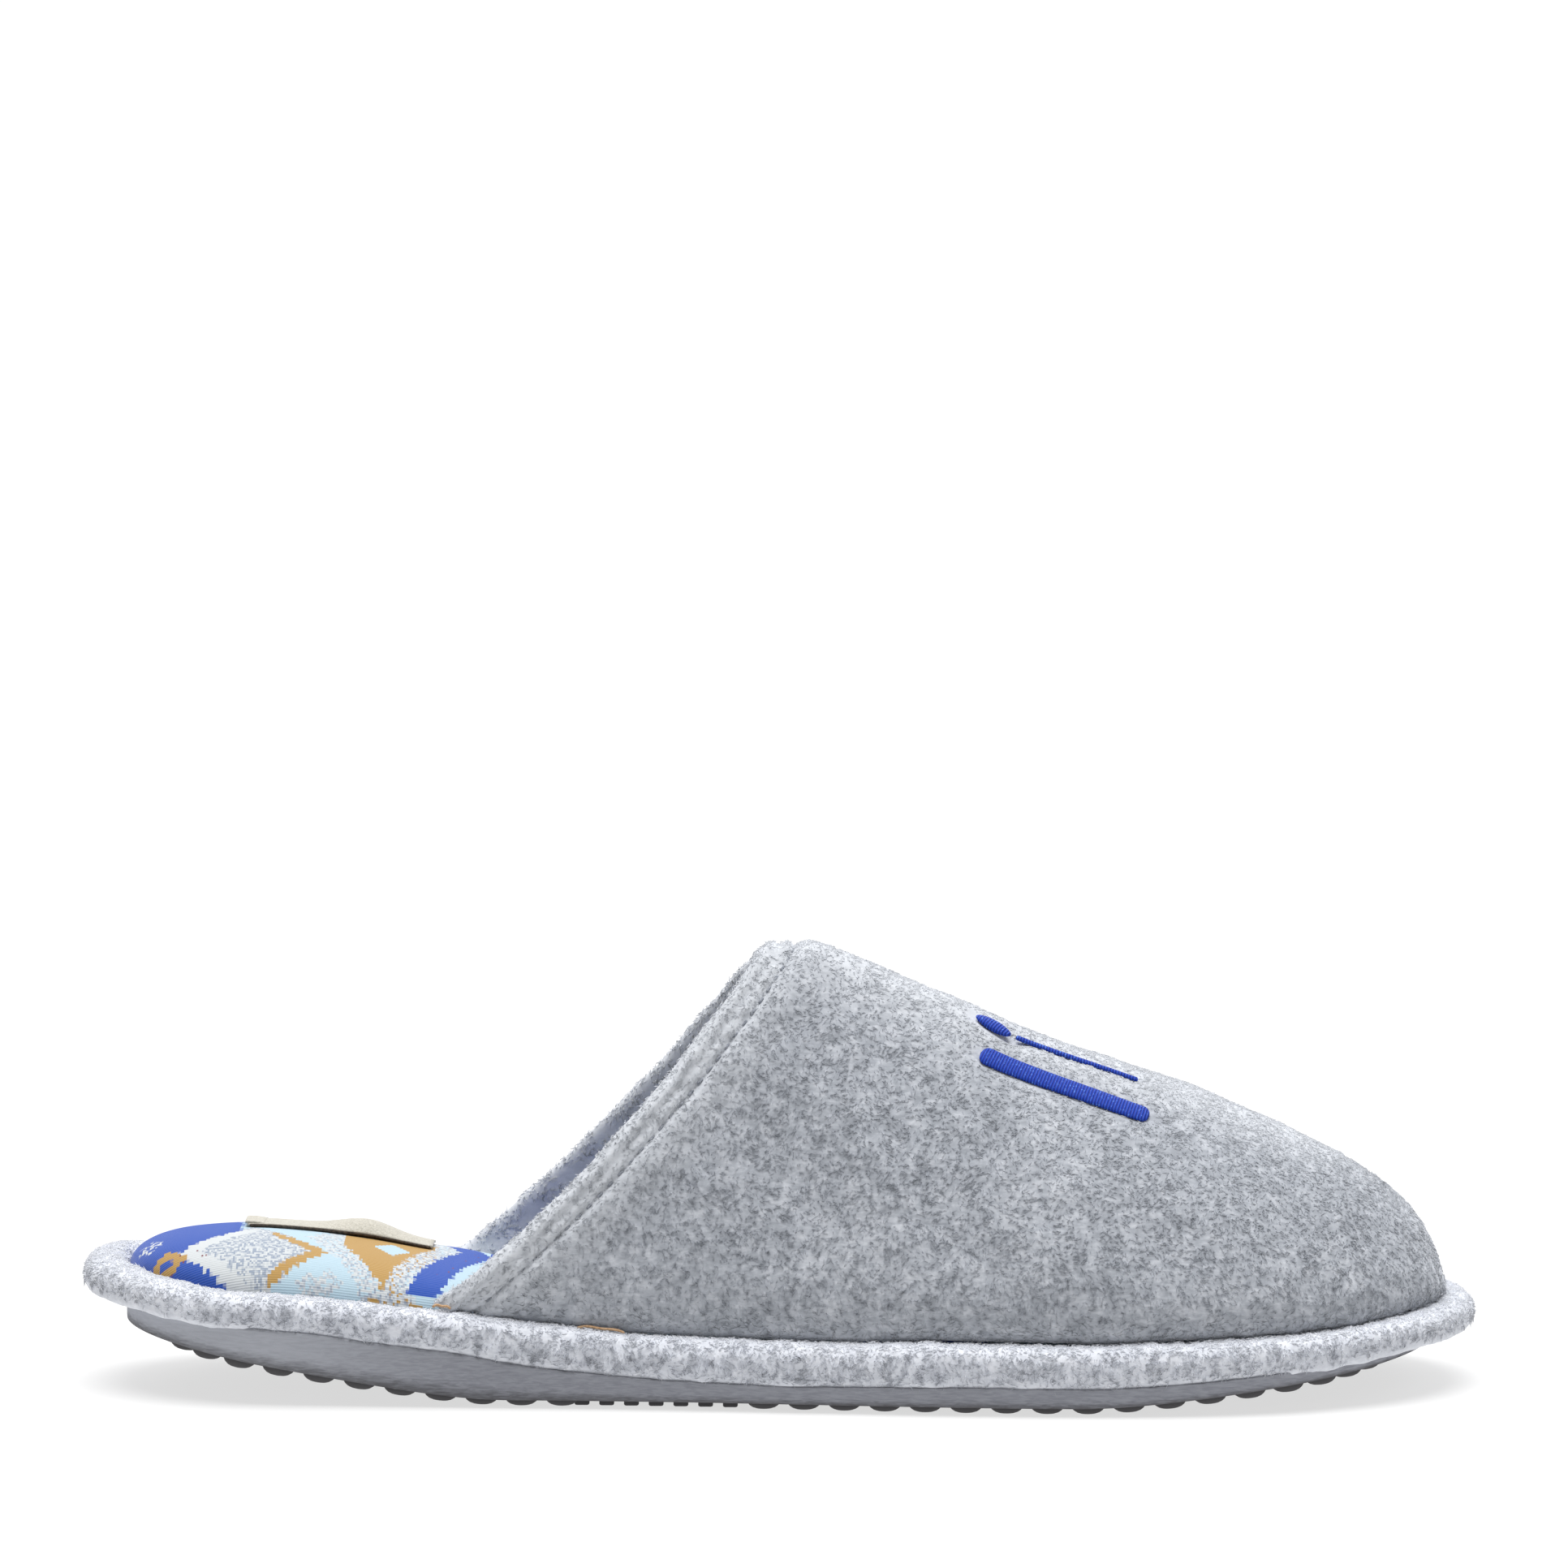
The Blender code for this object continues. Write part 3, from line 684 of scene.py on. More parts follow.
@dataclass(frozen=True)
class PlushFinish:
    """Brushed fleece: matted flecks in changing directions, gathered in lighter and darker tufts."""

    name: str
    dark: Colour
    ground: Colour
    light: Colour
    fleck: float
    tuft: float
    depth: float
    # Painted highlight: a near-white colour mixed into the fleece, up to the share below, where a piece marks it; it
    # stands for top light and grazing sheen.
    painted_highlight_colour: Colour = srgb(236, 239, 243)
    painted_highlight: float = 0.62
    contrast: float = 0.38
    patchy: float = 0.16
    tilts: tuple[float, float] = (0.75, -0.45)
    lay: tuple[float, float, float] = (0.34, 0.6, 1.0)

    def material(self) -> bpy.types.Material:
        """The finish as a material, with a painted highlight mixed in where a piece's mark says so."""
        shader = Shader(
            self.name, roughness=1.0, sheen_weight=0.9, sheen_roughness=0.4,
            sheen_tint=(0.93, 0.95, 1.0, 1), specular_ior_level=0.1,
        )
        where = shader.place()
        tuft = shader.noise(where, self.tuft, 3.0, 0.55, 0.5)
        patch = shader.noise(where, 12 * self.tuft, 1.0)
        brushed = [
            shader.noise(
                shader.add("Mapping", {}, {"Vector": where, "Rotation": (0.0, tilt, 0.0), "Scale": self.lay}),
                self.fleck * 0.55, 3.0, 0.6, 0.35,
            )
            for tilt in self.tilts
        ]
        swap = shader.noise(where, 4 * self.tuft, 1.0).fade(0.44, 0.56)
        fleck = brushed[0] * swap + brushed[1] * (1.0 - swap)
        tone = fleck * self.contrast + tuft * (1 - self.patchy - self.contrast) + patch * self.patchy
        stops = [(0.36, self.dark), (0.64, self.light), (0.50, self.ground)]
        colour = shader.add("ValToRGB", {"stops": stops}, {0: tone})
        # Painted highlight: the piece's mark at each vertex mixes the near-white colour in.
        painted_highlight = shader.add("Attribute", {"attribute_name": "painted_highlight"}, output="Fac")
        colour = shader.mix(painted_highlight * self.painted_highlight, colour, self.painted_highlight_colour)
        return shader.dress(colour, fleck * 0.5 + tuft * 0.5, self.depth, 0.7)


@dataclass(frozen=True)
class SoleFinish:
    """Smooth side of the sole with fine brushed streaks, and darker studs."""

    name: str = "brushed_sole"
    side: Colour = srgb(152, 154, 162)
    streak: Colour = srgb(134, 136, 144)
    heel: Colour = srgb(182, 185, 193)
    tread: Colour = srgb(76, 75, 77)

    def material(self) -> bpy.types.Material:
        """The finish as a material, from the kept share of the way up the side."""
        shader = Shader(self.name, roughness=0.85, specular_ior_level=0.25)
        where = shader.place()
        stretched = shader.add("Mapping", {}, {"Vector": where, "Scale": (0.16, 0.16, 1.0)})
        streak = shader.noise(stretched, 0.00045, 3.0, 0.6, 0.5)
        brushed = shader.mix(streak.fade(0.3, 0.7), self.streak, self.side)
        behind = shader.add("SeparateXYZ", {}, {0: where}).below(-0.085, 0.06)
        brushed = shader.mix(behind * (0.5 + streak * 0.4), brushed, self.heel)
        climb = shader.add("Attribute", {"attribute_name": "climb"}, output="Fac")
        colour = shader.mix((climb + (streak - 0.5) * 0.3).fade(-0.12, 0.42), self.tread, brushed)
        return shader.dress(colour, streak, 0.0002, 0.4)


@dataclass(frozen=True)
class SatinFinish:
    """Royal-blue embroidery thread in close satin stitches across the bar."""

    # The dark colour is painted shade between the stitches; the light colour is a painted glint on them.
    dark: Colour = srgb(14, 40, 138)
    ground: Colour = srgb(32, 70, 182)
    light: Colour = srgb(96, 142, 232)
    pitch: float = 0.00062

    def material(self) -> bpy.types.Material:
        """The finish as a material, with painted shade in the grooves between the stitches and a painted glint on their
        crests.
        """
        shader = Shader("satin_thread", roughness=0.6, specular_ior_level=0.25)
        uv = shader.add("TexCoord", output="UV")
        bands = math.pi / 10 / self.pitch
        inputs = {"Vector": uv, "Scale": bands, "Distortion": 0.6, "Detail": 1.0, "Detail Scale": 1.5}
        stitch = shader.add("TexWave", {"bands_direction": "X"}, inputs, output="Fac")
        # Painted glint: spots of the light colour on the stitch crests.
        painted_glint = shader.noise(shader.place(), 0.0007, 2.0, 0.6)
        # Painted shade: the dark colour in the grooves between the stitches, along the same wave as the bump.
        colour = shader.mix(stitch.fade(0.1, 0.8), self.dark, self.ground)
        colour = shader.mix(painted_glint.fade(0.56, 0.72) & stitch, colour, self.light)
        return shader.dress(colour, stitch, 0.0002, 0.8)


@dataclass(frozen=True)
class PlainFinish:
    """An even thread or cloth with a fine grain."""

    name: str
    dark: Colour
    light: Colour
    grain: float
    depth: float
    roughness: float = 0.8
    sheen: float = 0.0

    def material(self) -> bpy.types.Material:
        """The finish as a material."""
        shader = Shader(self.name, roughness=self.roughness, sheen_weight=self.sheen, specular_ior_level=0.35)
        grain = shader.noise(shader.place(), self.grain, 2.0, 0.6)
        return shader.dress(shader.mix(grain.fade(0.3, 0.7), self.dark, self.light), grain, self.depth, 0.8)


def finish_piece(piece: bpy.types.Object, material: bpy.types.Material) -> None:
    """Give a piece its one material, and let it ride on the slipper.

    Args:
        piece: The piece.
        material: Its finish.
    """
    piece.data.materials.clear()
    piece.data.materials.append(material)
    piece.data.shade_smooth()
    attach(piece, BODY)
    LOG.info("%s: %d faces", piece.name, len(piece.data.polygons))


@dataclass(frozen=True)
class Thread:
    """A round cord laid along a line of places."""

    radius: float
    height: float = 1.0
    turns: int = 8

    def lay(self, name: str, line: np.ndarray, up: np.ndarray, ends: float = 1.0) -> bpy.types.Object:
        """Lay the cord.

        Args:
            name: The new piece's name.
            line: Places along it.
            up: The outward turn at each.
            ends: Length over which each end is rounded, in radii.

        Returns:
            The closed cord, with the way along it as its U and the way round it as its V.
        """
        along = unit(np.gradient(line, axis=0))
        beside = unit(np.cross(along, up))
        rise = np.cross(beside, along)
        walked = walk(line)
        reach = ends * self.radius
        thick = self.radius * rounding(walked, reach, 2) * rounding(walked[-1] - walked, reach, 2)
        angle = np.linspace(0, 2 * np.pi, self.turns + 1)
        wide, tall = np.cos(angle)[None, :, None], self.height * np.sin(angle)[None, :, None]
        points = line[:, None] + thick[:, None, None] * (wide * beside[:, None] + tall * rise[:, None])
        uv = np.dstack(np.broadcast_arrays(walked[:, None], self.radius * angle[None, :]))
        return lay_grid(name, points, uv, merge=1e-6)


@dataclass(frozen=True)
class Fold:
    """A soft trough pressed in one side of the vamp, or a ridge where its depth is negative."""

    start: tuple[float, float]
    stop: tuple[float, float]
    reach: float
    depth: float
    inner: bool = False

    def push(self, places: np.ndarray) -> np.ndarray:
        """How far it presses each place in.

        Args:
            places: Rows of X, Y and Z.

        Returns:
            The depth at each.
        """
        side = places[:, [0, 2]]
        first, last = np.array(self.start), np.array(self.stop)
        share = np.clip((side - first) @ (last - first) / ((last - first) @ (last - first)), 0, 1)
        away = np.linalg.norm(side - first - share[:, None] * (last - first), axis=1)
        here = (places[:, 1] > 0) == self.inner
        return here * self.depth * np.exp(-((away / self.reach) ** 2)) * (0.4 + 0.6 * np.sin(np.pi * share))


@dataclass(frozen=True)
class Bar:
    """A satin-stitched bar on the vamp, between two places given by foot and climb."""

    start: tuple[float, float]
    stop: tuple[float, float]
    half: float
    height: float


@dataclass
class Upper:
    """Hollow plush vamp with a turned hem round its slanted collar."""

    wall: float = 0.0035
    feather_inset: float = 0.0056
    collar_foot: float = 0.255
    collar_lean: float = 0.065
    collar_bow: float = 0.0031
    bow_reach: float = 0.45
    toe_crown: float = 0.0255
    side_bulge: float = 0.0024
    bulge_rise: float = 0.16
    hem_width: float = 0.0080
    hem_puff: float = 0.0008
    hem_ridge: float = 0.0004
    hem_groove: float = 0.0003
    pucker_pitch: float = 0.0031
    rim_share: float = 0.40
    hem_pitch: float = 0.075
    hem_reach: float = 3.0
    girth_row: int = 8
    vamp_rows: int = 146
    half_columns: int = 84
    row_ease: float = 1.15
    finish: PlushFinish = PlushFinish(
        "plush_upper", srgb(143, 147, 154), srgb(171, 175, 182), srgb(199, 202, 208), 0.0012, 0.0026, 0.00008
    )
    ridge: Curve = Curve(
        (0.470, 0.985), (0.500, 1.000), (0.535, 0.992), (0.580, 0.938), (0.630, 0.872),
        (0.675, 0.807), (0.745, 0.728), (0.815, 0.648), (0.865, 0.575), (0.893, 0.533),
    )
    press_reach: float = 0.0034
    press_depth: float = 0.0009
    gather_pitch: float = 0.0074
    gather_rise: float = 0.015
    gather_depth: float = 0.0005
    stitch_pitch: float = 0.0031
    stitch_share: float = 0.62
    stitch_radius: float = 0.00032
    stitch_arch: float = 0.0003
    stitch_sink: float = 0.0002
    seam_place: float = 1.02
    loose_radius: float = 0.00026
    loose_ends: tuple[tuple[float, float, float], ...] = ((-0.0700, -0.0662, 0.0006), (-0.0410, -0.0310, 0.0))
    tufts: tuple[tuple[float, float], ...] = ((0.0085, 0.0009), (0.0026, 0.0003))
    nap_seeds: tuple[int, ...] = (11, 12)
    nap_inside: float = 0.0045
    # Shares of painted highlight on the hem band, on the zone under the ridge and on the whole inner face.
    hem_painted_highlight: float = 0.60
    ridge_painted_highlight: float = 0.62
    inside_painted_highlight: float = 0.8
    bars: tuple[Bar, ...] = (
        Bar((0.0075, 0.73), (0.0580, 0.69), 0.0025, 0.30),
        Bar((0.0150, 0.885), (0.0526, 0.88), 0.0008, 0.60),
        Bar((0.0020, 0.905), (0.0135, 0.872), 0.0032, 0.42),
    )
    folds: tuple[Fold, ...] = (
        Fold((-0.010, 0.062), (0.010, 0.036), 0.0075, 0.0008),
        Fold((0.004, 0.066), (0.026, 0.040), 0.0060, -0.0006),
        Fold((0.030, 0.046), (0.046, 0.024), 0.0065, 0.0006),
        Fold((0.066, 0.050), (0.084, 0.028), 0.0070, 0.0006),
        Fold((-0.008, 0.060), (0.008, 0.030), 0.0075, 0.0009, True),
        Fold((0.022, 0.058), (0.040, 0.030), 0.0070, 0.0007, True),
        Fold((0.062, 0.052), (0.076, 0.026), 0.0065, 0.0006, True),
    )
    leans: Curve = Curve(
        (0.000, 1.000), (0.106, 0.860), (0.237, 0.695), (0.393, 0.515), (0.552, 0.350),
        (0.695, 0.200), (0.811, 0.035), (0.897, -0.133), (0.937, -0.205), (1.000, -0.330),
    )
    fullness: Curve = Curve(
        (0.000, 1.86), (0.106, 1.90), (0.237, 1.96), (0.393, 2.02), (0.552, 2.05),
        (0.695, 2.02), (0.811, 1.93), (0.897, 1.80), (0.937, 1.72), (1.000, 1.60),
    )

    def ends(self) -> tuple[float, float, float]:
        """X of the foot of the rim, of the hem's seam and of the toe tip."""
        rim = (self.collar_foot - 0.5) * LAST.length
        return rim, rim + self.hem_width, LAST.length / 2 - self.feather_inset

    def ridge_height(self, x: np.ndarray) -> np.ndarray:
        """Height of the ridge over the floor."""
        return LAST.instep * self.ridge(LAST.station(x))

    def sections(self, foot_x: np.ndarray, climb: np.ndarray) -> np.ndarray:
        """Sections of the plain outer face, from the outer foot over the ridge to the inner foot.

        Args:
            foot_x: Where the feet of the sections stand.
            climb: Steps up each side, from 0 at the foot to 1 at the ridge.

        Returns:
            Sections by twice the steps less one by X, Y and Z.
        """
        _, seam, tip = self.ends()
        foot_x = np.asarray(foot_x, float)[:, None]
        along = np.clip((foot_x - seam) / (tip - seam), 0, 1)
        ridge_x = np.minimum(foot_x + self.collar_lean * self.leans(along), tip - self.toe_crown)
        power = 2 / self.fullness(along)
        bow = self.collar_bow * np.maximum(0, 1 - along / self.bow_reach) ** 2
        top, low = self.ridge_height(ridge_x), LAST.roll_top(foot_x) + LAST.gap
        slope = (self.ridge_height(ridge_x + LAST.gap) - self.ridge_height(ridge_x - LAST.gap)) / (2 * LAST.gap)
        ridge_y = sum(LAST.across(ridge_x, self.feather_inset)) / 2
        reach = np.hypot(ridge_x - foot_x, top - low)
        ahead = ridge_x > foot_x
        shear = np.where(ahead, 0.0, slope * (foot_x - ridge_x))
        away = np.where(climb == 1, 0.0, np.cos(climb * np.pi / 2)) ** power
        rise = np.sin(climb * np.pi / 2) ** power
        bowed = bow * 4 * rise * (1 - rise)
        halves = []
        for inner in (False, True):
            foot = LAST.side(foot_x, self.feather_inset, inner)
            swell = self.side_bulge * abs(foot[..., 3]) * rise / self.bulge_rise * np.exp(1 - rise / self.bulge_rise)
            x = foot[..., 0] + (ridge_x - foot[..., 0]) * np.where(ahead, rise, 1 - away)
            x = x + swell * foot[..., 2] + bowed * (top - low) / reach
            y = ridge_y + (foot[..., 1] - ridge_y) * away + swell * foot[..., 3]
            z = low + (top - low) * rise + shear * away * (1 - away) ** 2 - bowed * (ridge_x - foot_x) / reach
            halves.append(np.stack([x, y, z], -1))
        return np.concatenate([halves[0], halves[1][:, -2::-1]], axis=1)

    def hem(self, across: np.ndarray, girth: np.ndarray) -> tuple[np.ndarray, np.ndarray]:
        """How the hem pushes the outer and the inner face outwards.

        Args:
            across: Distance from the rim as a share of the hem's width.
            girth: Distance along the hem.

        Returns:
            The push of the outer face and of the inner face.
        """
        nip = np.clip(1 - across / self.rim_share, 0, 1)
        rolled = 0.47 * self.wall * (1 - np.sqrt(1 - 0.98 * nip ** 2))
        pucker = 0.5 + 0.5 * np.sin(2 * np.pi * girth / self.pucker_pitch + 1.3 * np.sin(girth / 0.0047))
        lump = 0.5 + 0.5 * np.sin(2 * np.pi * girth / (2.3 * self.pucker_pitch) + 2 * np.sin(girth / 0.0061))
        form = Curve(
            (0.16, 0.0), (0.40, self.hem_puff), (0.64, 0.2 * self.hem_puff), (0.82, self.hem_ridge),
            (0.93, 0.4 * self.hem_ridge), (1.01, -self.hem_groove), (1.10, 0.4 * self.hem_ridge),
            (1.30, self.hem_puff), (2.2, 0.0),
        )
        near_ridge = np.exp(-((across - 0.84) / 0.15) ** 2)
        out = form(across) - rolled + near_ridge * (pucker + lump - 1) * self.hem_ridge * 1.1
        return out, rolled

    def trace(self, feet: np.ndarray, climb: np.ndarray, inner: bool = False) -> tuple[np.ndarray, np.ndarray]:
        """Places and outward turns along a line on the plain outer face.

        Args:
            feet: The foot of the section that each place is on.
            climb: How far up that section it is.
            inner: Whether the line runs on the inner side.

        Returns:
            The places and the turns.
        """

        def at(more_foot: float, more_climb: float) -> np.ndarray:
            """The places, all moved a little."""
            sections = self.sections(feet + more_foot, np.r_[climb + more_climb, 1.0])
            picked = np.arange(len(feet))
            return sections[picked, -1 - picked if inner else picked]

        line = at(0.0, 0.0)
        up = unit(np.cross(at(1e-4, 0.0) - line, at(0.0, 1e-3) - line))
        return line, -up if inner else up

    def bar_line(self, bar: Bar, count: int = 140) -> tuple[np.ndarray, np.ndarray]:
        """Places and outward turns along a bar of the ornament."""
        return self.trace(np.linspace(bar.start[0], bar.stop[0], count), np.linspace(bar.start[1], bar.stop[1], count))

    def pressed(self, places: np.ndarray) -> np.ndarray:
        """How far the folds, the gathers at the toe and the ornament's stitches press the face in.

        Args:
            places: Rows of X, Y and Z.

        Returns:
            The depth at each.
        """
        depth = sum(fold.push(places) for fold in self.folds)
        for bar in self.bars:
            line = self.bar_line(bar, 30)[0]
            away = np.min([np.linalg.norm(places - place, axis=1) for place in line], axis=0)
            depth = depth + self.press_depth * np.exp(-((away / self.press_reach) ** 2))
        x, y, z = places.T
        rise = np.clip((z - LAST.roll_top(x)) / self.gather_rise, 0, 1)
        there = Curve((0.56, 0.0), (0.72, 0.7), (0.88, 1.0), (1.0, 0.8))(LAST.station(x))
        phase = (x + 0.9 * abs(y)) / self.gather_pitch * 2 * np.pi
        gather = 0.5 - 0.5 * np.cos(phase + 1.4 * np.sin(phase / 3.7))
        return depth + self.gather_depth * there * gather * (1 - rise) ** 1.5

    def build(self) -> bpy.types.Object:
        """Lay the sections, give them a wall, form the hem, press the folds in and raise the tufts.

        Returns:
            The closed skin.
        """
        rim, _, tip = self.ends()
        shares = np.r_[0, 0.02, 0.05, 0.10, 0.16, np.arange(0.24, self.hem_reach, self.hem_pitch)]
        hem_feet = rim + self.hem_width * shares
        turns = np.sin(np.pi / 2 * np.arange(1, self.vamp_rows + 1) / self.vamp_rows) ** self.row_ease
        feet = np.r_[hem_feet, hem_feet[-1] + (tip - hem_feet[-1]) * turns]
        climb = np.linspace(0, 1, self.half_columns)
        points = self.sections(feet, climb)
        girth = walk(points[self.girth_row])
        across = np.linalg.norm(points - points[:1], axis=2) / self.hem_width
        out, inside = self.hem(across, girth[None, :])
        # Painted highlight: the hem band and the zone under the ridge are marked to be painted lighter, standing for
        # light from above and sheen.
        painted_hem_highlight_mask = self.hem_painted_highlight * Curve((0.0, 1.0), (0.9, 1.0), (1.3, 0.6), (2.6, 0.0))(across)
        up_here = 0.5 - 0.5 * np.cos(np.pi * np.clip((climb - 0.62) / 0.34, 0, 1))
        painted_ridge_highlight_mask = np.broadcast_to(np.r_[up_here, up_here[-2::-1]], across.shape)
        painted_highlight = np.maximum(painted_hem_highlight_mask, self.ridge_painted_highlight * painted_ridge_highlight_mask)
        skin = lay_grid("upper_plush", points, merge=0.00025, marks={"out": out, "inside": inside, "painted_highlight": painted_highlight})
        turn_up(skin)
        outer_count = len(skin.data.vertices)
        apply_modifier(skin, "SOLIDIFY", thickness=self.wall, offset=-1)
        places = points_of(skin)
        outward = unit(places[:outer_count] - places[outer_count : 2 * outer_count])
        places[:outer_count] += mark_of(skin, "out")[:outer_count, None] * outward
        places[outer_count : 2 * outer_count] += mark_of(skin, "inside")[:outer_count, None] * outward
        places[:outer_count] -= self.pressed(places[:outer_count])[:, None] * outward
        place_points(skin, places)
        # Painted highlight: the whole inner face is painted lighter by an even share, standing for the light that its
        # shade takes away.
        painted_highlight_marks = mark_of(skin, "painted_highlight")
        painted_highlight_marks[outer_count : 2 * outer_count] = self.inside_painted_highlight
        skin.data.attributes["painted_highlight"].data.foreach_set("value", painted_highlight_marks.astype(np.float32))
        for size, depth in self.tufts:
            roughen(skin, size, depth)
        return skin

    def dress(self) -> None:
        """Build the skin and its nap and finish them."""
        material = self.finish.material()
        skin = self.build()
        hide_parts("upper")
        finish_piece(skin, material)
        for k, seed in enumerate(self.nap_seeds):
            nap = Nap(length=0.0015, width=0.00014, arch=0.00030, swirl=0.005, seed=seed)
            piece = nap.grow(f"upper_nap_{k + 1}", skin, self.outside)
            finish_piece(piece, material)
        self.embroider()
        self.stitch_hem()
        self.loose_threads()

    def embroider(self) -> None:
        """Lay the ornament: two bars of satin stitch side by side and a short lozenge."""
        satin = SatinFinish().material()
        for k, bar in enumerate(self.bars):
            line, up = self.bar_line(bar)
            line = line + up * (0.3 * bar.half * bar.height - self.press_depth * 0.55)
            piece = Thread(bar.half, bar.height, 16).lay(f"ornament_{k + 1}", line, up, ends=3.0 if k == 2 else 0.7)
            finish_piece(piece, satin)

    def stitch_hem(self) -> None:
        """Sew the hem: one short stitch after another in its groove."""
        thread = PlainFinish("hem_thread", srgb(118, 123, 132), srgb(164, 168, 176), 0.0005, 0.0001, 0.9).material()
        feet = self.ends()[0] + np.linspace(0, 2.5 * self.hem_width, 60)
        climb = np.linspace(0.02, 0.995, 240)
        sections = self.sections(feet, climb)
        across = np.linalg.norm(sections - sections[:1], axis=2)
        pieces = []
        for inner in (False, True):
            columns = across[:, : len(climb)] if not inner else across[:, : len(climb) - 2 : -1]
            seam = np.array([np.interp(self.seam_place * self.hem_width, column, feet) for column in columns.T])
            line, up = self.trace(seam, climb[: len(seam)], inner)
            walked = walk(line)
            for start in np.arange(0.001, walked[-1] - self.stitch_pitch, self.stitch_pitch):
                due = np.linspace(start, start + self.stitch_share * self.stitch_pitch, 7)
                arch = np.sin(np.pi * np.linspace(0, 1, 7)) * self.stitch_arch - self.hem_groove - self.stitch_sink
                at, turn = (np.stack([np.interp(due, walked, row[:, k]) for k in range(3)], -1) for row in (line, up))
                pieces.append(Thread(self.stitch_radius, turns=6).lay("stitch", at + turn * arch[:, None], turn))
        finish_piece(join_pieces(pieces, "hem_stitches"), thread)

    def loose_threads(self) -> None:
        """Leave two short ends of tan sewing thread between the roll and the vamp's foot."""
        tan = PlainFinish("tan_thread", srgb(168, 132, 96), srgb(206, 172, 136), 0.0004, 0.0001, 0.8).material()
        for k, (start, stop, lift) in enumerate(self.loose_ends):
            x = np.linspace(start, stop, 24)
            share = np.linspace(0, 1, 24)
            y = LAST.side(x, self.feather_inset - 0.0012, False)[:, 1]
            z = LAST.roll_top(x) + lift + 0.0007 * np.sin(np.pi * share) + 0.0002 * np.sin(9 * share)
            line = np.stack([x, y - 0.0005 * share, z], -1)
            piece = Thread(self.loose_radius).lay(f"loose_thread_{k + 1}", line, np.tile((0.0, 0.0, 1.0), (24, 1)))
            finish_piece(piece, tan)

    def outside(self, places: np.ndarray) -> np.ndarray:
        """Whether a place is on the outer face, the rim or the first stretch inside it.

        Args:
            places: Middles of faces.

        Returns:
            1 where it is and 0 where it isn't.
        """
        feet = np.linspace(self.ends()[0], self.ends()[2] - 0.001, 60)
        line = self.sections(feet, np.linspace(0, 1, 12)).reshape(-1, 3)
        near = np.full(len(places), 1.0)
        tree = build_tree(line)
        mid = np.array([0.02, float(line[:, 1].mean()), 0.02])
        for k, place in enumerate(places):
            found, _, distance = tree.find(place)
            inward = np.dot(Vector(place) - found, Vector(mid) - found)
            near[k] = 0.0 if inward > 0 and distance > self.nap_inside else 1.0
        for bar in self.bars:
            for place in self.bar_line(bar, 30)[0]:
                near[np.linalg.norm(places - place, axis=1) < bar.half * 0.9] = 0.0
        return near


def build_tree(points: np.ndarray) -> KDTree:
    """A tree that finds the nearest of some points."""
    tree = KDTree(len(points))
    for k, point in enumerate(points):
        tree.insert(point, k)
    tree.balance()
    return tree


@dataclass
class Roll:
    """Padded plush roll round the whole edge."""

    squareness: float = 2.35
    lower_squareness: float = 4.0
    bare_foot: float = 0.0018
    turns: int = 760
    sides: int = 34
    curls: tuple[tuple[float, float], ...] = ((0.014, 0.0010), (0.0034, 0.0007), (0.0014, 0.0002))
    finish: PlushFinish = PlushFinish(
        "plush_binding", srgb(203, 206, 214), srgb(219, 222, 229), srgb(232, 234, 240), 0.0011, 0.0027, 0.00012
    )

    def build(self) -> bpy.types.Object:
        """Lay the roll's oval along the plan and raise its curls.

        Returns:
            The closed roll.
        """
        fine = np.linspace(0, 2, 8 * self.turns + 1)
        path = LAST.ring(LAST.roll_width / 2, fine)
        walked = walk(path)
        turn = np.interp(np.linspace(0, walked[-1], self.turns + 1), walked, fine)
        middle = LAST.ring(LAST.roll_width / 2, turn)
        outward = unit(LAST.ring(0.0, turn) - middle)
        angle = np.linspace(0, 2 * np.pi, self.sides + 1)
        u, v = np.cos(angle), np.sin(angle)
        power = np.where((v < 0) & (u > 0), self.lower_squareness, self.squareness)
        reach = (abs(u) ** power + abs(v) ** power) ** (-1 / power)
        tall = LAST.roll_height * LAST.rolls(LAST.station(middle[:, 0]))
        height = LAST.seat(middle[:, 0]) + LAST.gap + tall / 2
        away = (reach * u)[None, :, None] * LAST.roll_width / 2 * outward[:, None, :]
        flat = middle[:, None, :] + away
        up = height[:, None] + (reach * v)[None, :] * tall[:, None] / 2
        skin = lay_grid("edge_roll", np.dstack([flat, up]))
        for size, depth in self.curls:
            roughen(skin, size, depth)
        return skin

    def dress(self) -> None:
        """Build the roll and its curls and finish them."""
        material = self.finish.material()
        skin = self.build()
        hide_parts("edge_binding")
        finish_piece(skin, material)
        nap = Nap(length=0.0014, width=0.00017, arch=0.00036, swirl=0.0028, seed=21)
        piece = nap.grow("edge_roll_nap", skin, lambda places: places[:, 2] > LAST.seat(places[:, 0]) + self.bare_foot)
        finish_piece(piece, material)


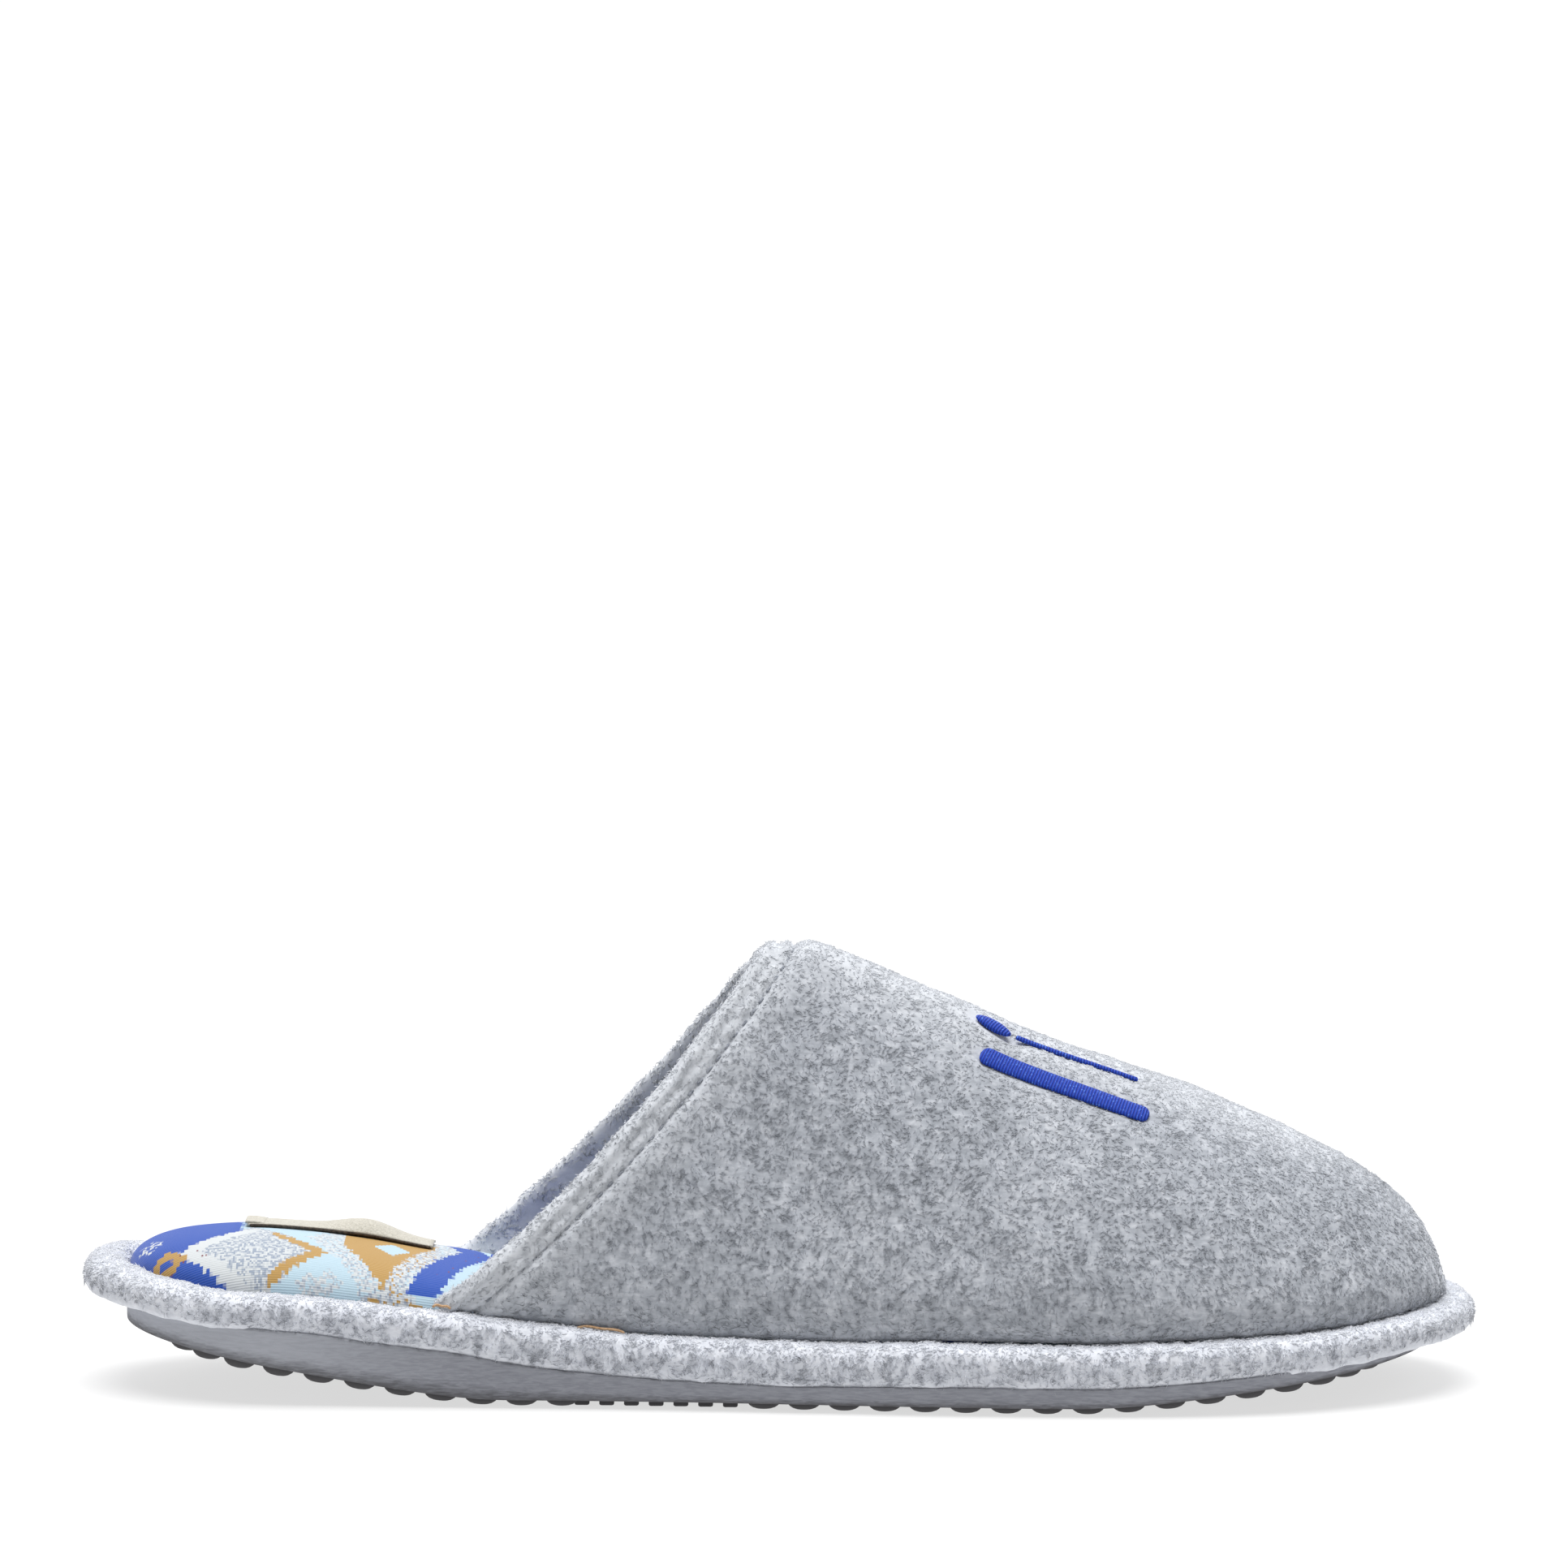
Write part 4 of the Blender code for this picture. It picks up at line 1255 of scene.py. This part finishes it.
@dataclass
class Slab:
    """A closed slab between the sides of the plan, laid as closed sections along the length."""

    inset: float
    tuck: float = 0.0
    stations: int = 220
    top_columns: int = 72
    low_columns: int = 16
    side_rows: int = 4

    def build(
        self, name: str, low: Callable[[np.ndarray], np.ndarray], edge: Callable[[np.ndarray], np.ndarray],
        top: Callable[[np.ndarray, np.ndarray], np.ndarray], edge_in: float = 0.0, flare: float = 0.0,
    ) -> bpy.types.Object:
        """Lay the sections.

        Args:
            name: The piece's name.
            low: Height of its lower face along X.
            edge: Height of the top of its side along X.
            top: Height of its upper face at X and Y.
            edge_in: Rounding of its lower edge.
            flare: How far the top of its side stands out over the foot.

        Returns:
            The closed slab, with the way along and across it as its UV map and its climb kept.
        """
        share = 0.5 - 0.5 * np.cos(np.pi * np.linspace(0, 1, self.stations))
        ends = LAST.side_lines(self.inset, self.tuck)[0][[0, -1], 0]
        x = ends[0] + (ends[1] - ends[0]) * share
        outer, inner = LAST.across(x, self.inset, self.tuck)
        half, middle = (inner - outer) / 2, (inner + outer) / 2
        half[[0, -1]] = 0
        spread = -np.cos(np.pi * np.linspace(0, 1, self.top_columns))
        under = np.linspace(1, -1, self.low_columns)
        sides = np.linspace(0, 1, self.side_rows + 2)[1:-1]
        across = np.r_[spread, np.ones(self.side_rows), under, -np.ones(self.side_rows), spread[0]]
        y = middle[:, None] + half[:, None] * across[None, :]
        z_low, z_edge = low(x)[:, None], edge(x)[:, None]
        wall = z_edge + (z_low - z_edge) * sides[None, :]
        bottom = np.broadcast_to(z_low, (len(x), self.low_columns))
        crown = top(x[:, None] + 0 * spread[None, :], y[:, : self.top_columns])
        z = np.hstack([crown, wall, bottom, wall[:, ::-1], crown[:, :1]])
        if edge_in:
            tight = 1 - edge_in / np.maximum(half[:, None], edge_in * 1.2)
            reach = np.where(z <= z_low + edge_in * 0.6, tight, 1.0)
            y = middle[:, None] + (y - middle[:, None]) * reach
        climb = np.clip((z - z_low) / np.maximum(z_edge - z_low, 1e-6), 0, 1)
        wide = np.maximum(half[:, None], 1e-6)
        stretch = 1 + flare * climb / wide * np.clip(wide / 0.02, 0, 1)
        y = middle[:, None] + (y - middle[:, None]) * stretch
        points = np.dstack([np.broadcast_to(x[:, None], y.shape), y, z])
        steps = np.linalg.norm(np.diff(points, axis=1), axis=2)
        walked = np.hstack([np.zeros((len(x), 1)), np.cumsum(steps, axis=1)])
        walked -= walked[:, self.top_columns // 2][:, None]
        uv = np.dstack([points[..., 0], walked])
        return lay_grid(name, points, uv, merge=2e-5, marks={"climb": climb})


@dataclass
class Sock:
    """Padded sock in printed cotton that fills the roll and swells up over it at the heel."""

    crown: float = 0.0090
    edge_drop: float = 0.0022
    end_round: float = 0.030
    swell: float = 2.6
    crowns: Curve = Curve(
        (0.00, 1.00), (0.12, 1.00), (0.20, 0.94), (0.26, 0.78), (0.32, 0.66), (0.50, 0.42), (0.75, 0.30), (1.00, 0.26)
    )

    @property
    def inset(self) -> float:
        """Inset of the sock's side, just inside the roll."""
        return LAST.roll_width + LAST.gap

    def top(self, x: np.ndarray, y: np.ndarray) -> np.ndarray:
        """Height of the sock's upper face.

        Args:
            x: Places along the slipper.
            y: Places across it.

        Returns:
            The height at each.
        """
        outer, inner = LAST.across(x, self.inset)
        off = np.clip(abs(y - (inner + outer) / 2) / np.maximum(1e-6, (inner - outer) / 2), 0, 1)
        heel = rounding(x + LAST.length / 2 - self.inset, self.end_round, 2)
        toe = rounding(LAST.length / 2 - self.inset - x, self.end_round, 2)
        crown = self.crown * self.crowns(LAST.station(x)) * heel * toe
        dome = (1 - off ** self.swell) ** (1 / self.swell)
        return LAST.roll_top(x) - self.edge_drop + (crown + self.edge_drop * heel * toe) * dome

    def build(self) -> bpy.types.Object:
        """Lay the pad with its domed upper face.

        Returns:
            The closed pad.
        """
        return Slab(self.inset).build(
            "sock_pad", lambda x: LAST.seat(x) + LAST.gap, lambda x: LAST.roll_top(x) - self.edge_drop, self.top
        )

    def dress(self) -> None:
        """Build the pad and print its cover."""
        pad = self.build()
        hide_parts("insole")
        finish_piece(pad, CottonPrint().material())


@dataclass(frozen=True)
class CottonPrint:
    """Ikat-like print of stepped lozenges, charted in millimetres along and across the sock."""

    blue: Colour = srgb(0, 66, 162)
    ochre: Colour = srgb(172, 134, 66)
    pale: Colour = srgb(172, 196, 209)
    white: Colour = srgb(196, 200, 202)
    grey: Colour = srgb(138, 149, 166)
    red: Colour = srgb(112, 40, 52)
    start: float = -136.0
    repeat: float = 76.0
    fold: float = 3.0
    stitch: float = 0.7
    rib: float = 0.55

    def material(self) -> bpy.types.Material:
        """The finish as a material."""
        shader = Shader("printed_cotton", roughness=0.9, sheen_weight=0.2, specular_ior_level=0.2)
        laid = shader.add("TexCoord", output="UV")
        uv = shader.add("VectorMath", {"operation": "SCALE"}, {0: laid, "Scale": 1000.0})
        ragged = shader.noise(uv, 1.6, 1.0) - 0.5
        stepped = shader.cells(uv, (self.stitch, 1.5 * self.stitch, 1.0))
        fine = shader.cells(uv, (0.55 * self.stitch, 0.9 * self.stitch, 1.0))
        speck = shader.noise(fine, 0.8, 1.0)
        along = shader.add("SeparateXYZ", {}, {0: stepped}) - self.start
        across = abs(shader.add("SeparateXYZ", {}, {0: stepped}, output=1) - self.fold)
        along = along.math("FLOORED_MODULO", self.repeat) + self.start
        jitter = (shader.noise(stepped, 1.1, 1.0) - 0.5) * 0.30 + ragged * 0.10

        def lozenge(x: float, y: float, half_x: float, half_y: float) -> Socket:
            """Distance from a lozenge's middle, 1 at its jagged edge."""
            return abs(along - x) / half_x + abs(across - y) / half_y + jitter

        stipple = speck.fade(0.42, 0.56)
        mottled = shader.mix(stipple, self.grey, self.white)
        web = lozenge(-108.0, 23.0, 13.5, 15.5)
        colour = shader.mix(web.below(1.24, 0.05) & (along + 100.0).below(0.0, 1.0), self.pale, mottled)
        colour = shader.mix(web.below(1.18, 0.03) & (-1 * along - 104.0).below(0.0, 1.0), colour, self.ochre)
        colour = shader.mix(web.below(0.92, 0.03), colour, mottled)
        field = (along + 110.5 + jitter * 14).below(0.0, 0.3) & (1.0 - web.below(1.04, 0.03))
        colour = shader.mix(field, colour, self.blue)
        shore = (1.0 - web.below(0.76, 0.06)) & (along + 107.0).below(0.0, 2.0)
        colour = shader.mix(shore & web.below(1.1, 0.05), colour, self.white)
        slivers = lozenge(-128.8, 13.0, 3.0, 4.6).below(1.0, 0.05) & speck.fade(0.50, 0.53)
        colour = shader.mix(slivers, colour, self.white)
        ring = abs(lozenge(-125.0, 24.5, 4.4, 4.2) - 0.72).below(0.34, 0.05)
        colour = shader.mix(ring, colour, self.ochre)
        for x, y in ((-95.6, 35.0), (-91.6, 33.6), (-93.4, 37.6)):
            flower = abs(lozenge(x, y, 2.6, 3.0) - 0.7).below(0.40, 0.1)
            colour = shader.mix(flower & speck.fade(0.40, 0.46), colour, mottled)
        halo = lozenge(-80.0, 12.0, 17.0, 33.0).below(1.0, 0.03)
        colour = shader.mix(halo & speck.fade(0.40, 0.44), colour, mottled)
        tulip = lozenge(-79.8, 9.0, 12.6, 27.0).below(1.0, 0.02) & abs(along + 79.8).below(9.6, 0.5)
        colour = shader.mix(tulip, colour, self.ochre)
        colour = shader.mix(lozenge(-79.4, 12.0, 3.6, 6.0).below(1.0, 0.05), colour, self.pale)
        colour = shader.mix(lozenge(-78.0, 37.0, 6.0, 3.4).below(1.0, 0.05), colour, self.ochre)
        lean = along + 62.4 + across * 0.30 + jitter * 9
        beside = (lean + 4.8).below(3.4, 0.3) & (-1 * lean - 4.8).below(3.4, 0.3)
        colour = shader.mix(beside & speck.fade(0.38, 0.42), colour, mottled)
        band = lean.below(3.4, 0.3) & (-1 * lean).below(3.4, 0.3) & (across + jitter * 9).below(34.0, 0.5)
        colour = shader.mix(band, colour, self.blue)
        dots = speck.fade(0.70, 0.72) & (band | lozenge(-125.0, 24.5, 9.0, 9.0).below(1.0, 0.1))
        colour = shader.mix(dots, colour, self.red)
        rib = shader.add("TexWave", {"bands_direction": "Y"}, {"Vector": uv, "Scale": math.pi / 10 / self.rib})
        weave = shader.noise(shader.add("Mapping", {}, {"Vector": uv, "Scale": (1.0, 4.0, 1.0)}), 0.7, 2.0)
        colour = shader.mix(rib * 0.05 + weave * 0.06, colour, self.white)
        return shader.dress(colour, rib * 0.7 + weave * 0.3, 0.00012, 0.6)


@dataclass
class Outsole:
    """Sole plate with a smooth side, domed studs and a fine tread at the waist."""

    inset: float = 0.0016
    edge_in: float = 0.0005
    edge_radius: float = 0.0034
    edge_pitch: float = 0.0082
    edge_margin: float = 0.0012
    tuck: float = 0.0070
    edge_tuck: float = 0.0122
    inner_radius: float = 0.0044
    inner_pitch: float = 0.0138
    inner_margin: float = 0.0016
    heel_end: float = 0.355
    fore_start: float = 0.475
    flare: float = 0.0015
    lip: float = 0.0014
    pad: float = 0.0015
    pad_pitch: float = 0.0050
    pad_files: int = 12
    pad_drop: float = 0.45
    lip_width: float = 0.0008

    def has_tread(self, x: np.ndarray) -> np.ndarray:
        """Whether there are studs here: under the heel and the forefoot, not at the waist."""
        return (LAST.station(x) < self.heel_end) | (LAST.station(x) > self.fore_start)

    @property
    def line_inset(self) -> float:
        """Inset of the line that the studs along the edge stand on."""
        return self.inset + self.edge_in + self.edge_radius + self.edge_margin

    def edge_studs(self) -> list[tuple[float, float, float]]:
        """X, Y and radius of the studs in the row along the edge."""
        fine = np.linspace(0, 2, 2 * LAST.steps + 1)
        path = LAST.ring(self.line_inset, fine, self.edge_tuck)
        walked = walk(path)
        count = round(walked[-1] / self.edge_pitch)
        due = (np.arange(count) + 0.5) * walked[-1] / count
        places = np.stack([np.interp(due, walked, path[:, k]) for k in (0, 1)], -1)
        return [(x, y, self.edge_radius) for x, y in places if self.has_tread(x)]

    def inner_studs(self) -> list[tuple[float, float, float]]:
        """X, Y and radius of the larger studs inside that row."""
        keep_off = self.edge_radius + self.inner_margin + self.inner_radius
        line = LAST.ring(self.line_inset, np.linspace(0, 2, 2 * LAST.steps), self.edge_tuck)
        line_pitch = self.inner_pitch * math.sin(math.radians(60))
        lines, files = int(LAST.length / 2 / line_pitch), int(LAST.ball_width / 2 / self.inner_pitch)
        places = []
        for i in range(-lines, lines + 1):
            for j in range(-files, files + 1):
                x, y = i * line_pitch, (j + 0.5 * (i % 2)) * self.inner_pitch
                outer, inner = LAST.across(x, self.line_inset + keep_off)
                clear = np.linalg.norm(line - (x, y), axis=1).min() > keep_off
                if outer < y < inner and clear and self.has_tread(x):
                    places.append((x, y, self.inner_radius))
        return places

    def build_plate(self) -> bpy.types.Object:
        """Lay the plate with its rounded lower edge."""
        slab = Slab(self.inset, self.tuck, stations=160, top_columns=32, low_columns=24, side_rows=9)

        def top(x: np.ndarray, y: np.ndarray) -> np.ndarray:
            """Height of the upper face, with a lip along its edge that is buried in the roll."""
            outer, inner = LAST.across(x, self.inset, self.tuck)
            return LAST.seat(x) + self.lip * np.exp(-((np.minimum(y - outer, inner - y) / self.lip_width) ** 2))

        return slab.build("sole_plate", LAST.base, lambda x: LAST.seat(x) + self.lip, top, self.edge_in, self.flare)

    def build_studs(self) -> bpy.types.Object:
        """Model one domed stud, and stand a copy of it at each place."""
        deselect()
        bpy.ops.mesh.primitive_uv_sphere_add(segments=16, ring_count=12, radius=1, location=(0, 0, 0))
        model = bpy.context.object
        places = points_of(model)
        places[:, 2] = np.clip(places[:, 2], -1, 0.1)
        flat = np.hypot(places[:, 0], places[:, 1])
        fuller = np.where(places[:, 2] < 0, -(1 - np.minimum(flat, 1) ** 2.6) ** (1 / 1.9), places[:, 2])
        place_points(model, np.column_stack([places[:, :2], fuller]))
        return self.stand("sole_studs", model, [
            (x, y, (radius, radius, float(LAST.base(x) - LAST.lift(x))))
            for x, y, radius in self.edge_studs() + self.inner_studs()
        ])

    def build_pads(self) -> bpy.types.Object:
        """Model one small square pad, and stand a copy of it at each place of the waist."""
        deselect()
        bpy.ops.mesh.primitive_cube_add(size=2, location=(0, 0, 0))
        model = bpy.context.object
        apply_modifier(model, "BEVEL", width=0.3, segments=2)
        place_points(model, points_of(model) - np.array([0, 0, self.pad_drop]))
        start, stop = ((share - 0.5) * LAST.length for share in (self.heel_end, self.fore_start))
        places = []
        for x in np.arange(start + self.pad, stop, self.pad_pitch):
            outer, inner = LAST.across(x, self.line_inset + self.pad)
            height = float(LAST.base(x) - LAST.lift(x)) / (1 + self.pad_drop)
            places += [(x, y, (self.pad, self.pad, height)) for y in np.linspace(outer, inner, self.pad_files)]
        return self.stand("waist_pads", model, places)

    def stand(
        self, name: str, model: bpy.types.Object, places: list[tuple[float, float, tuple[float, float, float]]]
    ) -> bpy.types.Object:
        """Stand copies of a model under the plate and join them.

        Args:
            name: The joined piece's name.
            model: The model, at the origin and about as large as a unit, which is used up.
            places: X, Y and the scale along each axis of every copy.

        Returns:
            The joined piece, marked as being at the foot of the climb.
        """
        copies = []
        for x, y, size in places:
            slope = float(LAST.lift(x + self.pad) - LAST.lift(x - self.pad)) / (2 * self.pad)
            copy = model.copy()
            copy.data = model.data.copy()
            bpy.context.scene.collection.objects.link(copy)
            place = Matrix.Translation((x, y, float(LAST.base(x))))
            copy.data.transform(place @ Matrix.Rotation(-math.atan(slope), 4, "Y") @ Matrix.Diagonal((*size, 1)))
            copies.append(copy)
        bpy.data.objects.remove(model)
        piece = join_pieces(copies, name)
        climb = piece.data.attributes.new("climb", "FLOAT", "POINT")
        climb.data.foreach_set("value", np.full(len(piece.data.vertices), -0.5, np.float32))
        return piece

    def dress(self) -> None:
        """Build the plate, its studs and its pads and finish them."""
        material = SoleFinish().material()
        plate = self.build_plate()
        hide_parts("outsole")
        for piece in (plate, self.build_studs(), self.build_pads()):
            finish_piece(piece, material)


@dataclass
class Label:
    """Small woven label sewn on the heel of the sock."""

    length: float = 0.038
    width: float = 0.017
    thickness: float = 0.0005
    station: float = 0.1835
    offset: float = 0.0095
    hump: float = 0.0021
    hump_place: float = 0.64
    hump_reach: float = 0.20
    dark_edge_radius: float = 0.00032
    steps: int = 40

    def dress(self, sock: Sock) -> None:
        """Lay the label on the sock, fold its end and lay a dark cord along its near long edge.

        Args:
            sock: The sock that carries it.
        """
        centre_x = (self.station - 0.5) * LAST.length
        outer, inner = LAST.across(centre_x, sock.inset)
        centre_y = float(outer + inner) / 2 + self.offset

        def lifted(share: np.ndarray, beside: np.ndarray, over: float | np.ndarray = 0.0) -> np.ndarray:
            """Places on the label at shares of its length and width."""
            xs = centre_x + self.length * (share - 0.5)
            ys = centre_y + self.width * (beside - 0.5)
            middle = np.sin(np.pi * np.clip(beside, 0, 1) ** 0.8)
            hump = self.hump * np.exp(-(((share - self.hump_place) / self.hump_reach) ** 2)) * (0.12 + middle)
            return np.dstack([xs, ys, sock.top(xs, ys) + LAST.gap + hump + over])

        share, beside = np.meshgrid(np.linspace(0, 1, self.steps), np.linspace(0, 1, self.steps), indexing="ij")
        label = self.cloth("heel_label", lifted(share, beside))
        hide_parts("insole_label")
        over = 0.0004 * (1 - share ** 2) + 0.0001
        fold = self.cloth("label_fold", lifted(-0.012 + 0.10 * share, 0.02 + 0.96 * beside, over))
        cloth = PlainFinish("label_cloth", srgb(166, 162, 150), srgb(196, 192, 181), 0.0004, 0.0001, 0.9, 0.2)
        material = cloth.material()
        for piece in (label, fold):
            finish_piece(piece, material)
        # A dark cord along the label's near long edge.
        dark = PlainFinish("label_dark_edge", srgb(44, 38, 34), srgb(84, 72, 60), 0.0006, 0.0001, 0.8).material()
        share = np.linspace(0.01, 0.99, 160)[:, None]
        edge = lifted(share, np.full_like(share, -0.008), 0.0001)[:, 0]
        seam = Thread(self.dark_edge_radius).lay("label_dark_edge_line", edge, np.tile((0.0, 0.0, 1.0), (len(edge), 1)))
        finish_piece(seam, dark)

    def cloth(self, name: str, points: np.ndarray) -> bpy.types.Object:
        """A thin closed cloth laid through rows of points."""
        piece = lay_grid(name, points)
        turn_up(piece)
        apply_modifier(piece, "SOLIDIFY", thickness=self.thickness, offset=1)
        return piece


@dataclass
class Studio:
    """Pale floor, soft lights and a long lens at the photograph's angle."""

    picture: int = 1932
    scale: float = 6000.0
    middle_row: float = 1445.0
    floor_row: float = 1700.0
    elevation: float = 7.4
    distance: float = 2.0
    sensor: float = 0.036
    aim_x: float = 0.001
    overhead: float = 4.0
    overhead_angle: float = 50.0
    overhead_from: tuple[float, float, float] = (-0.02, -0.06, 1.0)
    room: float = 0.17
    floor_radius: float = 60.0
    floor_sink: float = 0.00002
    floor_glow: float = 0.66

    def camera(self) -> None:
        """Set up the camera; pixels per metre at the slipper and the row of its middle give the lens."""
        data = bpy.data.cameras.new("camera")
        data.sensor_width = self.sensor * 1000
        seen = self.picture / self.scale
        data.lens = data.sensor_width * self.distance / seen
        camera = bpy.data.objects.new("camera", data)
        bpy.context.scene.collection.objects.link(camera)
        rise = math.radians(self.elevation)
        middle_z = (self.floor_row - self.middle_row) / self.scale / math.cos(rise)
        aim = Vector((self.aim_x, 0.0, middle_z))
        back = Vector((0, -math.cos(rise), math.sin(rise)))
        camera.location = aim + back * self.distance
        off = math.atan((self.middle_row - self.picture / 2) / self.scale / self.distance)
        camera.rotation_euler = (math.pi / 2 - rise + off, 0, 0)
        data.clip_start, data.clip_end = 0.1, 100
        bpy.context.scene.camera = camera

    def lights(self) -> None:
        """Hang one broad overhead light in a dim white room, with soft boxes in front and behind."""
        data = bpy.data.lights.new("overhead", "SUN")
        data.energy, data.angle = self.overhead, math.radians(self.overhead_angle)
        light = bpy.data.objects.new("overhead", data)
        light.rotation_euler = Vector(self.overhead_from).to_track_quat("Z", "Y").to_euler()
        bpy.context.scene.collection.objects.link(light)
        self.softbox("front", (0.9, -1.6, 0.9), 0.9, 2.0)
        self.softbox("back", (0.0, 1.6, 0.9), 2.2, 30.0)
        world = bpy.data.worlds.new("room")
        world.use_nodes = True
        tree = world.node_tree
        background = tree.nodes["Background"]
        background.inputs["Color"].default_value = (1, 1, 1, 1)
        seen = tree.nodes.new("ShaderNodeLightPath")
        strength = tree.nodes.new("ShaderNodeMapRange")
        strength.inputs["To Min"].default_value = self.room
        tree.links.new(seen.outputs["Is Camera Ray"], strength.inputs["Value"])
        tree.links.new(strength.outputs[0], background.inputs["Strength"])
        bpy.context.scene.world = world
        bpy.context.scene.view_settings.view_transform = "Standard"

    def softbox(self, name: str, place: tuple[float, float, float], size: float, power: float) -> None:
        """Hang one square light.

        Args:
            name: Its name.
            place: Where it hangs.
            size: Length of its side.
            power: Its power in watts.
        """
        data = bpy.data.lights.new(name, "AREA")
        data.size, data.energy = size, power
        light = bpy.data.objects.new(name, data)
        bpy.context.scene.collection.objects.link(light)
        light.location = place
        light.rotation_euler = (Vector(place) - Vector((0, 0, 0.04))).to_track_quat("Z", "Y").to_euler()

    def floor(self) -> None:
        """Lay the round pale floor."""
        deselect()
        bpy.ops.mesh.primitive_circle_add(
            vertices=64, radius=self.floor_radius, fill_type="NGON", location=(0, 0, -self.floor_sink)
        )
        floor = bpy.context.object
        floor.name = "floor"
        shader = Shader(
            "floor_paint", roughness=1.0, specular_ior_level=0.0,
            emission_color=(1.0, 1.0, 1.0, 1.0), emission_strength=self.floor_glow,
        )
        tone = shader.noise(shader.place(), 0.4)
        floor.data.materials.append(shader.dress(shader.mix(tone, (0.26, 0.26, 0.26), (0.28, 0.28, 0.28))))


def main() -> None:
    """Build and dress every piece in order."""
    logging.basicConfig(level=logging.INFO, format="%(name)s %(message)s")
    studio = Studio()
    studio.camera()
    studio.lights()
    studio.floor()
    Outsole().dress()
    Roll().dress()
    sock = Sock()
    sock.dress()
    Label().dress(sock)
    Upper().dress()


if __name__ == "__main__":
    main()
